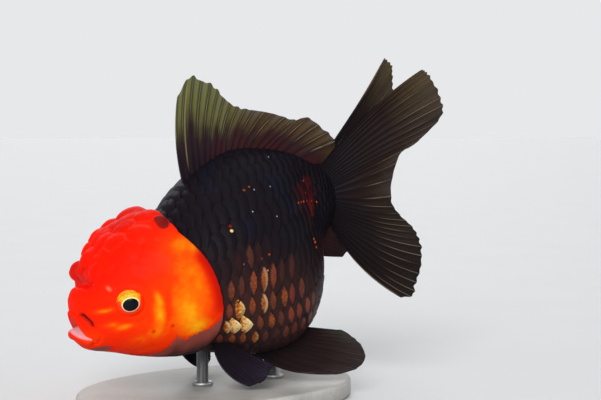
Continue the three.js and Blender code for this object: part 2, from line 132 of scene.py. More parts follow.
# Cross-sections along the body: [x, top, bottom, half width, height of the widest point]
body = dict(
    trunk=[
        [14, 12, -9, 12, 1],
        [26, 16, -16, 19, 0],
        [38, 22.8, -24, 25, -2],
        [50, 30.8, -30.5, 29, -2],
        [61, 35, -34.3, 30.5, -2.5],
        [72, 36.4, -33.8, 29, -2],
        [83, 33.2, -26.5, 21.5, 1],
        [93, 28, -9.5, 11, 7.5],
        [101, 21.5, -2, 6.4, 9.5],
        [107, 17.5, 1.5, 3, 10],
    ],
    head=[
        [0.4, 6.2, -5.8, 5.4, 0.6],
        [1.6, 8.2, -7.3, 7.0, 0.8],
        [4, 11.1, -9.0, 9.4, 1],
        [6, 12.9, -10, 11.9, 1.5],
        [9, 15.8, -11.6, 15.4, 2],
        [16, 21.4, -15.7, 20.5, 2],
        [24, 25, -19.6, 24.5, 1],
        [32, 26.6, -22.2, 27, 0],
        [42, 26, -22.6, 28, -1],
    ],
    trunkPower=(2.0, 2.15),  # roundness above and below the widest point
    headPower=(2.35, 2.2),
    rim=dict(crown=34.5, cheek=41, throat=31),  # how far back the head reaches
    nape=[(-0.45, 0.16, 1.2), (0.1, 0.2, 0.3), (0.5, 0.16, 0.8)],  # lobes of that edge: angle, width, reach
    rear=107,
)
trunkAt = curveThrough(body["trunk"])
headAt = curveThrough(body["head"])


def sectionPoint(profile, x, angle, power, grow=0.0):
    # angle is 0 at the top and a quarter turn at the right side
    top, bottom, halfWidth, widest = np.moveaxis(profile, -1, 0)
    c, s = np.cos(angle), np.sin(angle)
    k = np.where(c > 0, power[0], power[1])
    y = np.sign(s) * np.abs(s) ** (2 / k) * (halfWidth + grow)
    height = np.where(c > 0, top + grow - widest, widest - bottom + grow)
    z = widest + np.sign(c) * np.abs(c) ** (2 / k) * height
    return np.stack(np.broadcast_arrays(x, y, z), -1)


def trunkPoint(x, angle, grow=0.0):
    return sectionPoint(trunkAt(x), x, angle, body["trunkPower"], grow)


def headPoint(x, angle, grow=0.0):
    return sectionPoint(headAt(x), x, angle, body["headPower"], grow)


def rimX(angle):
    rim = body["rim"]
    middle = (rim["crown"] + rim["throat"]) / 2
    lean = (rim["crown"] - rim["throat"]) / 2
    swell = np.where(np.cos(angle) > 0, 3.0, 1.3)
    lobed = sum(reach * bump(angle - where, width) for where, width, reach in body["nape"])
    return middle + lean * np.cos(angle) + (rim["cheek"] - middle) * np.abs(np.sin(angle)) ** swell + lobed


# Nodes of a material: a Wire is one output of a node, and sums, products and the rest make further nodes

class Wire:
    def __init__(self, tree, socket):
        self.tree = tree
        self.socket = socket

    def math(self, operation, other=0.0):
        return addNode(self.tree, "ShaderNodeMath", 0, {0: self, 1: other}, operation=operation)

    def __add__(self, other):
        return self.math("ADD", other)

    def __sub__(self, other):
        return self.math("SUBTRACT", other)

    def __rsub__(self, other):
        return addNode(self.tree, "ShaderNodeMath", 0, {0: other, 1: self}, operation="SUBTRACT")

    def __mul__(self, other):
        return self.math("MULTIPLY", other)

    def part(self, axis):
        return addNode(self.tree, "ShaderNodeSeparateXYZ", axis, {0: self})

    def fade(self, low, high, start=0.0, end=1.0):
        sockets = {"Value": self, "From Min": low, "From Max": high, "To Min": start, "To Max": end}
        return addNode(self.tree, "ShaderNodeMapRange", "Result", sockets, interpolation_type="SMOOTHSTEP")

    def mix(self, a, b):
        # from colour a to colour b as this goes from 0 to 1
        return addNode(self.tree, "ShaderNodeMix", 2, {0: self, 6: a, 7: b}, data_type="RGBA")

    def ramp(self, *stops):
        made = addNode(self.tree, "ShaderNodeValToRGB", "Color", {"Fac": self})
        points = made.socket.node.color_ramp.elements
        while len(points) < len(stops):
            points.new(0.5)
        for point, (position, tint) in zip(points, stops):
            point.position = position
            point.color = tint
        return made

    def grain(self, size, detail=3.0, roughness=0.55):
        # noise with features of size millimetres, on coordinates in metres
        sockets = {"Vector": self, "Scale": 1000 / size, "Detail": detail, "Roughness": roughness}
        return addNode(self.tree, "ShaderNodeTexNoise", "Fac", sockets)

    def relief(self, strength, distance):
        # a normal from a height; distance in millimetres
        sockets = {"Height": self, "Strength": strength, "Distance": distance / 1000}
        return addNode(self.tree, "ShaderNodeBump", "Normal", sockets)


def feed(node, sockets):
    for name, value in sockets.items():
        if isinstance(value, Wire):
            value.tree.links.new(value.socket, node.inputs[name])
        else:
            node.inputs[name].default_value = value


def addNode(tree, kind, output, sockets=None, **settings):
    node = tree.nodes.new(kind)
    for name, value in settings.items():
        setattr(node, name, value)
    feed(node, sockets or {})
    return Wire(tree, node.outputs[output])


def attribute(tree, name):
    return addNode(tree, "ShaderNodeAttribute", "Fac", attribute_name=name)


def attributes(tree, *names):
    return [attribute(tree, name) for name in names]


def objectPlace(tree):
    return addNode(tree, "ShaderNodeTexCoord", "Object")


def rgb(red, green, blue):
    # a colour from its 0 to 255 display values
    def linear(value):
        value /= 255
        return value / 12.92 if value <= 0.04045 else ((value + 0.055) / 1.055) ** 2.4
    return (linear(red), linear(green), linear(blue), 1.0)


def newMaterial(name, sockets):
    material = bpy.data.materials.new(name)
    material.use_nodes = True
    tree = material.node_tree
    shader = tree.nodes["Principled BSDF"]
    feed(shader, sockets)
    return material, tree, shader


def newGroup(name, inputs, outputs):
    group = bpy.data.node_groups.new(name, "ShaderNodeTree")
    for socket, kind in inputs.items():
        group.interface.new_socket(socket, in_out="INPUT", socket_type=kind)
    for socket, kind in outputs.items():
        group.interface.new_socket(socket, in_out="OUTPUT", socket_type=kind)
    entry = group.nodes.new("NodeGroupInput")
    given = [Wire(group, entry.outputs[socket]) for socket in inputs]
    return group, given, group.nodes.new("NodeGroupOutput")


def useGroup(tree, group, output, sockets):
    node = tree.nodes.new("ShaderNodeGroup")
    node.node_tree = group
    feed(node, sockets)
    return Wire(tree, node.outputs[output])


number, colour, vector = "NodeSocketFloat", "NodeSocketColor", "NodeSocketVector"


# Meshes

def showPiece(name, mesh, material, slot, *replaced):
    piece = bpy.data.objects.new(name, mesh)
    bpy.context.scene.collection.objects.link(piece)
    mesh.materials.append(material)
    mesh.polygons.foreach_set("use_smooth", np.ones(len(mesh.polygons), bool))
    mesh.update()
    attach(piece, "root")
    if replaced:
        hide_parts(*replaced)
    return piece


def meshFrom(bm, name):
    mesh = bpy.data.meshes.new(name)
    bm.to_mesh(mesh)
    bm.free()
    return mesh


def readValues(items, name, size):
    flat = np.empty(len(items) * size, np.float32)
    items.foreach_get(name, flat)
    return flat.reshape(-1, size)


def placesOf(mesh):
    return readValues(mesh.vertices, "co", 3).astype(float)


def movePoints(mesh, points):
    mesh.vertices.foreach_set("co", points.astype(np.float32).ravel())
    mesh.update()


def readAttribute(mesh, name):
    return readValues(mesh.attributes[name].data, "value", 1)[:, 0].astype(float)


def writeAttributes(mesh, **marks):
    for name, values in marks.items():
        made = mesh.attributes.get(name) or mesh.attributes.new(name, "FLOAT", "POINT")
        made.data.foreach_set("value", values.astype(np.float32))


def writeUv(mesh, name, values):
    layer = mesh.uv_layers.get(name) or mesh.uv_layers.new(name=name)
    layer.data.foreach_set("uv", values.astype(np.float32).ravel())


def gridMesh(name, across, along, thick=False):
    # a grid with a UV map over it, and, when thick, a second face behind it and a rim between them
    bm = bmesh.new()
    bm.loops.layers.uv.new("OFBake")
    bmesh.ops.create_grid(bm, x_segments=across, y_segments=along, size=1, calc_uvs=True)
    if thick:
        side = bm.verts.layers.float.new("side")
        grown = bmesh.ops.extrude_face_region(bm, geom=bm.faces[:])
        for vert in grown["geom"]:
            if isinstance(vert, bmesh.types.BMVert):
                vert[side] = 1
    mesh = meshFrom(bm, name)
    flat = placesOf(mesh)[:, :2]
    low, high = flat.min(0), flat.max(0)
    return mesh, *((flat - low) / (high - low)).T


def cleanMesh(mesh, weldWithin=0):
    # points this near each other become one, and the faces look outward
    bm = bmesh.new()
    bm.from_mesh(mesh)
    if weldWithin:
        bmesh.ops.remove_doubles(bm, verts=bm.verts[:], dist=weldWithin)
        bmesh.ops.dissolve_degenerate(bm, edges=bm.edges[:], dist=weldWithin / 10)
    bmesh.ops.recalc_face_normals(bm, faces=bm.faces[:])
    bm.to_mesh(mesh)
    bm.free()
    mesh.update()


# The mouth: a ring of lip that the skin rolls over on its way in

lips = dict(
    corner=2.25,          # where the upper lip meets the lower, in radians from the top
    halfWidth=6.0,
    # x and z from the middle to the corner: start, change, power
    upper=[(1.2, 2.0, 2.4), (5.6, -10.2, 1.9)],
    lower=[(-0.2, 3.4, 3.0), (-1.0, -3.6, 1.5)],
    radius=(0.85, 1.45),  # of the upper and the lower lip
    blend=0.1,            # from the one to the other, in radians
    pinch=(0.4, 0.16),    # how much thinner the corner is, and how wide that part is
    smoothing=11,         # steps to each side over which the ring is evened out
    innerRoll=100,        # how far the skin turns over the lips, in degrees
    outerRoll=(100, 62),
    depth=4.0,            # of the mouth behind the lips
    middleZ=0.6,          # the height that the mouth narrows to
)


def lowerLip(angle):
    # 0 on the upper lip and 1 on the lower
    return ease(np.abs(angle), lips["corner"] - lips["blend"], lips["corner"] + lips["blend"])


def lipRing():
    angle = np.linspace(-pi, pi, 721)[:-1]
    turn = np.abs(angle)
    corner = lips["corner"]
    upper = turn <= corner
    s = np.sin(np.where(upper, turn / corner, (pi - turn) / (pi - corner)) * pi / 2)
    above = [start + change * s**power for start, change, power in lips["upper"]]
    below = [start + change * s**power for start, change, power in lips["lower"]]
    x, z = np.where(upper, above, below)
    ring = np.stack([x, np.sign(angle) * lips["halfWidth"] * s, z], -1)
    reach = lips["smoothing"]
    window = np.hanning(2 * reach + 1)
    window /= window.sum()
    wrapped = np.concatenate([ring[-reach:], ring, ring[:reach]])
    ring = np.stack([np.convolve(wrapped[:, k], window, "valid") for k in range(3)], -1)
    along = unit(np.roll(ring, -1, 0) - np.roll(ring, 1, 0))
    front = np.array([-1.0, 0, 0])
    out = unit(front - along * (along @ front)[:, None])
    side = np.cross(along, out)
    thinner, width = lips["pinch"]
    radius = lerp(*lips["radius"], lowerLip(angle)) * (1 - thinner * bump(turn - corner, width))
    return angle, ring, out, side, radius


ringAngle, ringMiddle, ringOut, ringSide, ringRadius = lipRing()


def aroundRing(values, angle):
    if values.ndim == 1:
        return np.interp(angle, ringAngle, values, period=2 * pi)
    return np.stack([np.interp(angle, ringAngle, v, period=2 * pi) for v in values.T], -1)


def lipPoint(t, angle):
    outerRoll = lerp(*lips["outerRoll"], lowerLip(angle))
    roll = np.radians(lerp(-lips["innerRoll"], outerRoll, t))[:, None]
    out, side = aroundRing(ringOut, angle), aroundRing(ringSide, angle)
    radius = aroundRing(ringRadius, angle)[:, None]
    return aroundRing(ringMiddle, angle) + radius * (np.cos(roll) * out + np.sin(roll) * side)


def mouthPoint(t, angle):
    x, y, z = lipPoint(np.zeros_like(angle), angle).T
    wall = t * pi / 2
    x = lerp(lips["depth"], x, 1 - np.cos(wall))
    z = lerp(lips["middleZ"], z, np.sin(wall))
    return np.stack([x, y * np.sin(wall), z], -1)


# The skin's rows from the back of the mouth, over the lips and the head, round the head's rear edge
# and down the trunk to the root of the tail

skin = dict(
    around=280,
    rows=dict(mouth=14, lips=14, head=188, fold=18, trunk=98, end=6),
    coatDepth=0.75,       # the trunk's skin lies this far under the outside of its scales
    coatAtTail=0.45,      # and this share of it at the root of the tail
    thinning=(106, 78),   # x from where to where it changes
    tuck=2.6,             # the head's edge overhangs the trunk by this much
    edgeRadius=(0.4, 1.9),   # of the rolled edge
    endSwell=1.4,         # how far the closed end behind the tail's root stands out
)


def skinHead(t, angle):
    edge = lipPoint(np.ones_like(angle), angle)
    start = edge[:, 0] + 0.3
    x = lerp(start, rimX(angle), t**1.25)
    reach = 0.045 + 0.1 * np.sin(angle) ** 2 + 0.04 * (np.cos(angle) < 0) * np.cos(angle) ** 2
    mixed = ease(t, 0, reach)[:, None]
    return lerp(edge, headPoint(x, angle), mixed)


def coatDepthAt(x):
    return skin["coatDepth"] * lerp(skin["coatAtTail"], 1.0, ease(x, *skin["thinning"]))


def trunkSkin(x, angle, lift=0.0):
    return trunkPoint(x, angle, lift - coatDepthAt(x))


def trunkStart(angle):
    return rimX(angle) - skin["tuck"]


def skinFold(t, angle):
    # half a turn round the edge of the head, then forward underneath to the trunk
    edge = headPoint(rimX(angle), angle)
    inner = trunkSkin(trunkStart(angle), angle)
    outward = unit(edge - headPoint(rimX(angle), angle, -1.0))
    gap = np.linalg.norm(edge - trunkSkin(rimX(angle), angle), axis=-1)
    radius = np.clip(gap * 0.42, *skin["edgeRadius"])
    radius = (radius * lerp(0.55, 1.0, ease(np.cos(angle), 0.1, 0.8)))[:, None]   # thinner on the cheeks
    turn = np.clip(t / 0.5, 0, 1)[:, None] * pi
    middle = edge - outward * radius
    rearward = np.array([1.0, 0, 0])
    rolled = middle + radius * (np.cos(turn) * outward + np.sin(turn) * rearward)
    under = ease(t, 0.5, 1.0)[:, None]
    return lerp(rolled, inner, under)


def skinTrunk(t, angle):
    return trunkSkin(lerp(trunkStart(angle), body["rear"], t), angle)


def skinEnd(t, angle):
    last = trunkSkin(np.full_like(angle, body["rear"]), angle)
    middle = np.array([body["rear"], 0, trunkAt(body["rear"])[3]])
    shrink = np.cos(t * pi / 2)[:, None]
    rounded = middle + (last - middle) * shrink
    rounded[:, 0] += skin["endSwell"] * np.sin(t * pi / 2)
    return rounded


skinSections = dict(
    mouth=mouthPoint, lips=lipPoint, head=skinHead, fold=skinFold, trunk=skinTrunk, end=skinEnd)


def rowsBefore(section):
    names = list(skin["rows"])
    return sum(skin["rows"][name] for name in names[:names.index(section)])


rowTotal = sum(skin["rows"].values())


def trunkUv(x, angle):
    # where a point of the trunk lies in the skin's own unwrap
    t = (x - trunkStart(angle)) / (body["rear"] - trunkStart(angle))
    return (angle + pi) / (2 * pi), (rowsBefore("trunk") + t * skin["rows"]["trunk"]) / rowTotal


# Relief of the head, in millimetres out from the bare shape

lobes = dict(
    rows=7, front=9.4, rear=34.5,
    spread=0.86,         # reach to each side of the crown, in radians
    pitch=(6.4, 9.0), radius=(3.6, 6.0), height=(1.5, 2.1),   # in front and at the rear
    stray=(2.5, 0.16),   # how unevenly they lie, along and round the head
    sideHeight=0.05,     # of the outermost lobes, as a share of the middle ones
    large=[              # x, degrees from the top, radius, height
        [33, 9, 5.8, 3.0], [33.5, -12, 5.6, 2.6], [34.4, -26, 2.8, 3.0], [26.4, 22, 4.4, 2.7],
        [21.2, 21, 4.4, 2.7], [16.4, 22, 3.4, 2.0], [10.6, 34, 3.6, 2.5], [12.6, 4, 3.6, 2.2],
        [27, -24, 5.4, 1.6], [20, -16, 4.8, 1.8], [11, -22, 3.8, 1.2],
    ],
)


def lobeList():
    made = []
    strayAlong, strayRound = lobes["stray"]
    for row in range(lobes["rows"]):
        t = row / (lobes["rows"] - 1)
        x = lerp(lobes["front"], lobes["rear"], t)
        top, _, halfWidth, _ = headAt(x)
        reach = lobes["spread"] * lerp(0.75, 1, t)
        count = math.floor(reach * (top + halfWidth) / lerp(*lobes["pitch"], t) + 0.5)
        for i in range(count + 1):
            seed = row * 31 + i
            angle = lerp(-reach, reach, (i + 0.5 * (row % 2)) / count) + (scatter(seed) - 0.5) * strayRound
            along = x + (scatter(seed + 0.7) - 0.5) * strayAlong - 3 * t * np.abs(angle)
            size = lerp(0.75, 1.25, scatter(seed + 0.3))
            height = lerp(*lobes["height"], t) * lerp(1, lobes["sideHeight"], np.abs(angle / reach) ** 1.5)
            middle = headPoint(np.array(along), np.array(angle), height * 0.2)
            made.append((middle, lerp(*lobes["radius"], t) * size, height * size))
    for x, degrees, radius, height in lobes["large"]:
        made.append((headPoint(np.array(x), np.radians(degrees), height * 0.2), radius, height))
    return made


wrinkles = dict(count=170, x=(7, 36), turn=0.95, radius=(0.9, 2.0), height=0.16, seed=5)


def wrinkleList():
    # small pimples between and over the lobes of the hood
    random = np.random.default_rng(wrinkles["seed"])
    made = []
    for _ in range(wrinkles["count"]):
        x = random.uniform(*wrinkles["x"])
        angle = random.uniform(-wrinkles["turn"], wrinkles["turn"])
        radius = random.uniform(*wrinkles["radius"])
        made.append((headPoint(np.array(x), np.array(angle)), radius, wrinkles["height"] * radius / 2))
    return made


def domes(points, made):
    # the two highest round bumps at each point, from a list of them
    first, second = np.zeros(len(points)), np.zeros(len(points))
    for middle, radius, height in made:
        reach = np.linalg.norm(points - middle, axis=-1) / radius
        dome = height * np.sqrt(np.maximum(1 - reach**2, 0))
        second = np.maximum(second, np.minimum(first, dome))
        first = np.maximum(first, dome)
    return first, second


eyes = dict(
    x=16.2, z=5.4, radius=5.2, proud=1.35,
    facing=(-0.43, 0.9, 0.03),   # the right eye's
    socket=4.3, sunk=2.2,        # radius and depth of the opening in the skin
)


def eyeMiddle(side):
    halfWidth = headAt(eyes["x"])[2]
    return np.array([eyes["x"], side * (halfWidth - 0.5 + eyes["proud"] - eyes["radius"]), eyes["z"]])


def eyeFacing(side):
    x, y, z = eyes["facing"]
    return unit(np.array([x, side * y, z]))


# Grooves on the side of the head: their line as x and z, depth, width at its two ends, and where they fade in
# and out along it
grooves = dict(
    jawSlit=([(2.1, 5.7), (2.8, 3.9), (3.6, 2.0), (4.3, -0.2)], 1.5, (0.6, 0.34), 0.25, (1, 0.6)),
    jawEdge=(
        [(4.0, 1.0), (4.8, -1.0), (5.0, -3.0), (4.4, -5.0), (2.8, -6.0)],
        0.45, (0.35, 0.35), 0.3, (1, 0.7)),
    preopercle=(
        [(26.5, 9.5), (25.2, 4), (23.9, -1.5), (21.6, -7), (17, -11.4), (11, -11.6)],
        0.2, (0.6, 0.6), 0.2, (0.8, 0.45)),
    preopercleFront=(
        [(19.2, 7), (18.4, 2), (17.4, -3.4), (15.4, -7.6), (12, -10)],
        0.12, (0.7, 0.7), 0.3, (1, 0.7)),
    subopercle=([(26.8, -9), (30.5, -9.6), (35, -9.2), (39.5, -6.5)], 0.12, (0.5, 0.5), 0.2, (1, 0.8)),
    underEye=([(8.4, 2.6), (11.6, -0.4), (15.6, -1.4), (19.4, 0.6)], 0.16, (0.8, 0.8), 0.25, (1, 0.75)),
)
nostril = dict(x=11.3, z=11.2, radius=0.7, rim=0.3, depth=0.5, soft=0.35)
upperJaw = ((3.6, -2.6), (1.8, 2.6), 0.35)   # the end of it stands out: middle, size, height
ribs = dict(throat=34, throatHeight=0.14, gill=46, gillHeight=0.05)   # fine ridges of throat and gill cover
# The creases between hood and snout: x, width, depth, and the turns from the top between which they show
creases = [
    (7.4, 1.15, 3.9, (-0.8, -0.1), (1.4, 0.9)),
    (7.2, 0.9, 0.7, (-1.0, -0.6), (0.0, -0.7)),
]
# The dark lower edge of the gill covers and the throat starts below this line: [x, z]
darkEdge = [
    [2, -7.6], [5, -8.6], [10, -12.2], [15, -14.6], [20, -15.2], [23, -12.6],
    [24.6, -9.8], [28, -12.2], [30.5, -10.9], [35, -11.4], [38, -10.1], [42, -7],
]


def headTurn(points):
    # the angle round the head, from the top towards the right side
    return np.arctan2(points[:, 1], points[:, 2] - 2)


def headRelief(points, inHead, inRim):
    x, y, z = points.T
    wide = np.abs(y)
    onSide = ease(wide, 3.5, 6)
    hood, _ = domes(points, lobeList())
    fine, _ = domes(points, wrinkleList())
    turn = headTurn(points)
    relief = hood + fine * ease(np.abs(turn), 1.1, 0.7)
    for middle, width, depth, left, right in creases:
        relief -= depth * bump(x - middle, width) * ease(turn, *left) * ease(turn, *right)
    # eye socket: sunk inside the opening, with a soft raised rim
    for side, _ in bothSides:
        middle, facing = eyeMiddle(side), eyeFacing(side)
        offset = points - middle
        depth = offset @ facing
        radial = np.linalg.norm(offset - depth[:, None] * facing, axis=-1)
        edge = radial - eyes["socket"]
        sunk = eyes["sunk"] * ease(edge, 0.2, -0.7) + 0.1 * bump(edge - 2.2, 0.9)
        relief += (depth > 0) * (0.05 * bump(edge - 0.6, 0.6) - sunk)
    for line, depth, width, fadeIn, fadeOut in grooves.values():
        off, place = lineDistance(x, z, line)
        shown = onSide * ease(place, 0, fadeIn) * ease(place, *fadeOut)
        relief -= shown * depth * bump(off, lerp(*width, place))
    relief += onSide * patch(x, z, upperJaw)
    nose = np.hypot(x - nostril["x"], z - nostril["z"])
    relief += onSide * nostril["rim"] * bump(nose - nostril["radius"], nostril["soft"])
    relief -= onSide * nostril["depth"] * bump(nose, nostril["soft"])
    # branchial rays that show through the throat skin
    throat = ease(z, -9, -14) * ease(x, 9, 16)
    relief += throat * ribs["throatHeight"] * np.sin(np.arctan2(wide, x - 4) * ribs["throat"])
    # ridges that fan over the gill cover
    gill = inHead * onSide * ease(x, 24.5, 28) * ease(z, 9, 2)
    relief += gill * ribs["gillHeight"] * np.sin(np.arctan2(z - 9, x - 21) * ribs["gill"])
    return relief * inHead * inRim


# Warm patches of the head: middle (x, z), size, strength from red towards yellow
warmPatches = [
    ((24, -3), (12, 12), 0.28),
    ((33, 4), (7, 15), 0.22),
    ((7.8, 5.2), (2.2, 0.75), 0.6),
    ((8.2, 0.3), (1.8, 0.9), 0.45),
    ((10.9, -1.4), (2.2, 1.0), 0.6),
    ((14.2, -6.8), (3.4, 1.6), 0.14),
    ((22.3, 4.0), (1.0, 3.0), 0.5),
    ((21.2, -0.6), (1.4, 3.4), 0.55),
    ((19.6, -5.6), (1.6, 2.4), 0.3),
    ((29.6, -3.4), (3.6, 6.4), 0.5),
    ((32, -9.2), (3.8, 2.6), 0.5),
    ((36.5, 18), (5.0, 2.6), 0.4),
    ((38.8, 14.8), (1.5, 2.0), 0.5),
    ((36.6, 6), (3.0, 9), 0.26),
    ((33, 12), (5, 6), 0.2),
    ((15, -9), (6, 4), 0.12),
]
# Dark red at the back of the crown and on the brow; more than 1 is darker still
duskPatches = [
    ((33, 30), (8, 4.2), 1.35),
    ((24, 27), (9, 3.4), 0.8),
    ((8.5, 17), (3, 2), 0.4),
]
rightBrow = ((10.6, 16.5), (3.0, 3.5), 0.9)
rearLobe = dict(x=34.6, degrees=-28.5, narrow=1.4, edge=(3.4, 2.4), strength=1.75)
redSpecks = dict(middles=[(18.5, -5.5), (24.0, -5.5)], size=(0.5, 0.6), strength=0.9)
chinPatch = ((5.6, -7.8), (2.4, 1.1), 4)   # grey


def headMarkings(points):
    x, y, z = points.T
    onSide = ease(np.abs(y), 5, 11)
    warmth = 0.02 + 0.04 * ease(z, 14, 8) + 0.22 * spot(x, z, (2.6, -3.4), (3.0, 3.0))
    for warm in warmPatches:
        warmth = warmth + patch(x, z, warm) * onSide
    groove, _ = lineDistance(x, z, grooves["preopercle"][0])
    warmth -= 0.12 * onSide * bump(groove, 0.9) * ease(z, 8, 4) * ease(z, -5, 0)
    margin = np.interp(x, *np.array(darkEdge).T) - z
    margin += patch(x, z, chinPatch)
    flush = bump(rimX(np.arctan2(y, (z - 1) * 1.05)) - x, 2.6) * ease(z, -10, -4) * ease(z, 18, 11)
    flush = flush * onSide
    for dusk in duskPatches:
        flush = np.maximum(flush, patch(x, z, dusk))
    flush = np.maximum(flush, patch(x, z, rightBrow) * ease(y, 2, 6))
    middle = headPoint(np.array(rearLobe["x"]), np.radians(rearLobe["degrees"]), 0.6)
    apart = np.linalg.norm((points - middle) * (rearLobe["narrow"], 1, 1), axis=-1)
    flush = np.maximum(flush, rearLobe["strength"] * ease(apart, *rearLobe["edge"]))
    for middle in redSpecks["middles"]:
        flush = np.maximum(flush, patch(x, z, (middle, redSpecks["size"], redSpecks["strength"])) * onSide)
    # painted shade: the jaw slit darkened to near-black red along its groove
    off, place = lineDistance(x, z, grooves["jawSlit"][0])
    slitShade = bump(off, lerp(0.62, 0.3, place)) * ease(place, 0, 0.2) * ease(place, 1, 0.75)
    slitShade *= ease(np.abs(y), 3.5, 6)
    # painted highlight: a pale pink spot where the nostril's raised rim catches the light
    nostrilHighlight = spot(x, z, (nostril["x"] - 0.2, nostril["z"] + 0.3), (0.45, 0.7)) * onSide
    return dict(warmth=warmth, margin=margin, flush=flush, slitShade=slitShade, nostrilHighlight=nostrilHighlight)


# Bronze and red of the body's scales: middle (x, z), size, strength
bronzePatches = [
    ((47, -12), (6.5, 6.5), 1.2),
    ((54, -12), (9, 9), 0.74),
    ((48, -20), (7, 4), 0.72),
    ((63, -11), (7, 9), 0.45),
    ((56, -1.5), (7, 3.4), 0.6),
    ((46.5, -0.5), (3, 3), 0.7),
    ((56, 5), (7, 3.5), 0.2),
    ((67, -19), (9, 8), 0.52),
]
kitePatch = ((47, -13.5), (4, 5))   # where the scales are pointed and brightest
redPatches = [((87.5, 12.8), (4.5, 2.6), 0.9), ((93, 15.6), (2, 1.8), 0.6), ((92, -4), (3, 3), 0.4)]


def bodyMarkings(points):
    x, y, z = points.T
    onSide = ease(np.abs(y), 2, 5)
    bronze, ruby = 0 * x, 0 * x
    for made in bronzePatches:
        bronze = np.maximum(bronze, patch(x, z, made))
    for made in redPatches:
        ruby = np.maximum(ruby, patch(x, z, made))
    bronze *= ease(z, -29, -23)
    pointed = ease(spot(x, z, *kitePatch), 0.35, 0.5)
    return dict(bronze=bronze * onSide, ruby=ruby * onSide, pointed=pointed * onSide)


# Colours that skin and scales share

colours = dict(
    red=rgb(247, 17, 1), orange=rgb(254, 62, 1), amber=rgb(253, 124, 3), yellow=rgb(252, 168, 16),
    flush=rgb(196, 18, 4), purple=rgb(146, 72, 62), mouth=rgb(216, 156, 164), throat=rgb(46, 28, 30),
    back=rgb(23, 19, 25), flank=rgb(50, 32, 33), bronze=rgb(150, 84, 36),
    ruby=rgb(150, 30, 14), blue=rgb(22, 23, 36), crease=rgb(246, 84, 62), slitShade=rgb(58, 4, 4),
    dusk=rgb(84, 26, 26), nostrilHighlight=rgb(255, 128, 96), palate=rgb(228, 100, 88), gum=rgb(224, 132, 130),
)


# Flecks of colour and pale specks on the left side: middle, radius, colour
orange = rgb(206, 84, 30)
pale = rgb(150, 150, 160)
flecks = [
    ((52.7, -25.1, 15.7), 0.5, rgb(244, 200, 128)), ((53.0, -24.6, 17.1), 0.5, rgb(132, 26, 14)),
    ((63.5, -20.8, 25.5), 0.4, rgb(124, 56, 28)), ((65.6, -19.8, 25.9), 0.34, rgb(150, 70, 32)),
    ((81, -22.4, 14.5), 0.45, orange), ((82.8, -21.4, 14.1), 0.35, orange),
    ((84.4, -20.2, 13.6), 0.4, orange),
    ((86.4, -18.8, 13), 0.35, orange), ((89.6, -16, 11.6), 0.35, orange), ((93.4, -12.2, 9.7), 0.4, orange),
    ((88, -16.6, 15.2), 0.4, rgb(150, 34, 24)), ((93.6, -11.6, 12.7), 0.4, rgb(140, 30, 22)),
    ((82, -22.3, 1.2), 0.4, orange), ((82.2, -22.2, 0), 0.5, orange), ((82, -22.3, -1.8), 0.4, orange),
    ((81, -10.8, 30.7), 0.25, pale), ((72.5, -22.1, 23.5), 0.25, pale), ((66.5, -21.9, 24.6), 0.3, pale),
    ((57.9, -28, 4.4), 0.5, rgb(124, 48, 62)), ((60.8, -28.4, 4.7), 0.4, rgb(170, 64, 36)),
    ((58.4, -29, 0.1), 0.35, rgb(176, 112, 104)), ((51.7, -27, 4.8), 0.4, rgb(104, 58, 84)),
    ((62, -25.3, 18.8), 0.25, pale), ((69, -27.4, 14.6), 0.25, pale), ((90, -13.2, 18.8), 0.3, pale),
]


def bodyColourGroup():
    # the dark body: blue-black above, purple-black below, with a warm glow where the bronze is
    group, given, result = newGroup(
        "dark body", {"Place": vector, "Bronze": number, "Ruby": number}, {"Color": colour})
    place, bronze, ruby = given
    cloud = place.grain(14)
    shown = place.part("Z").fade(0.062, 0.03).mix(colours["back"], colours["flank"])
    shown = cloud.fade(0.52, 0.75).mix(shown, colours["blue"])
    shown = (bronze * 0.06).mix(shown, colours["bronze"])
    shown = (ruby * 0.45).mix(shown, colours["ruby"])
    # small flecks, measured with the depth drawn in so that they lie on the surface
    flat = (1, 0.1, 1)
    place = addNode(group, "ShaderNodeVectorMath", 0, {0: place, 1: flat}, operation="MULTIPLY")
    for middle, radius, tint in flecks:
        there = tuple(toModel(np.array(middle, float)) * flat)
        far = addNode(group, "ShaderNodeVectorMath", "Value", {0: place, 1: there}, operation="DISTANCE")
        shown = far.fade(radius * 0.0012, radius * 0.0007).mix(shown, tint)
    feed(result, {"Color": shown})
    return group


darkBody = bodyColourGroup()


def headColourGroup():
    # the red cap and the orange cheeks, running out in a torn edge into the dark throat
    group, given, result = newGroup(
        "red cap", {"Place": vector, "Warmth": number, "Margin": number, "Flush": number}, {"Color": colour})
    place, warmth, margin, flush = given
    mottle = place.grain(2.6, 5, 0.65)
    streak = place.grain(7, 4)
    shift = (mottle - 0.5) * 0.34 + (streak - 0.5) * 0.12
    warm = (warmth + shift * warmth.fade(0.0, 0.7, 0.2, 1.7)).ramp(
        (0.0, colours["red"]), (0.36, colours["orange"]), (0.72, colours["amber"]), (1.0, colours["yellow"]))
    warm = flush.mix(warm, colours["flush"])
    warm = (flush - 1.0).mix(warm, colours["dusk"])
    edge = margin + (place.grain(1.7, 6, 0.7) - 0.5) * 5.0
    throat = margin.fade(1.0, 9.0).mix(colours["purple"], colours["throat"])
    stained = edge.fade(-1.6, 0.0, 0.0, 0.35).mix(warm, colours["flush"])
    feed(result, {"Color": edge.fade(-0.15, 0.35).mix(stained, throat)})
    return group


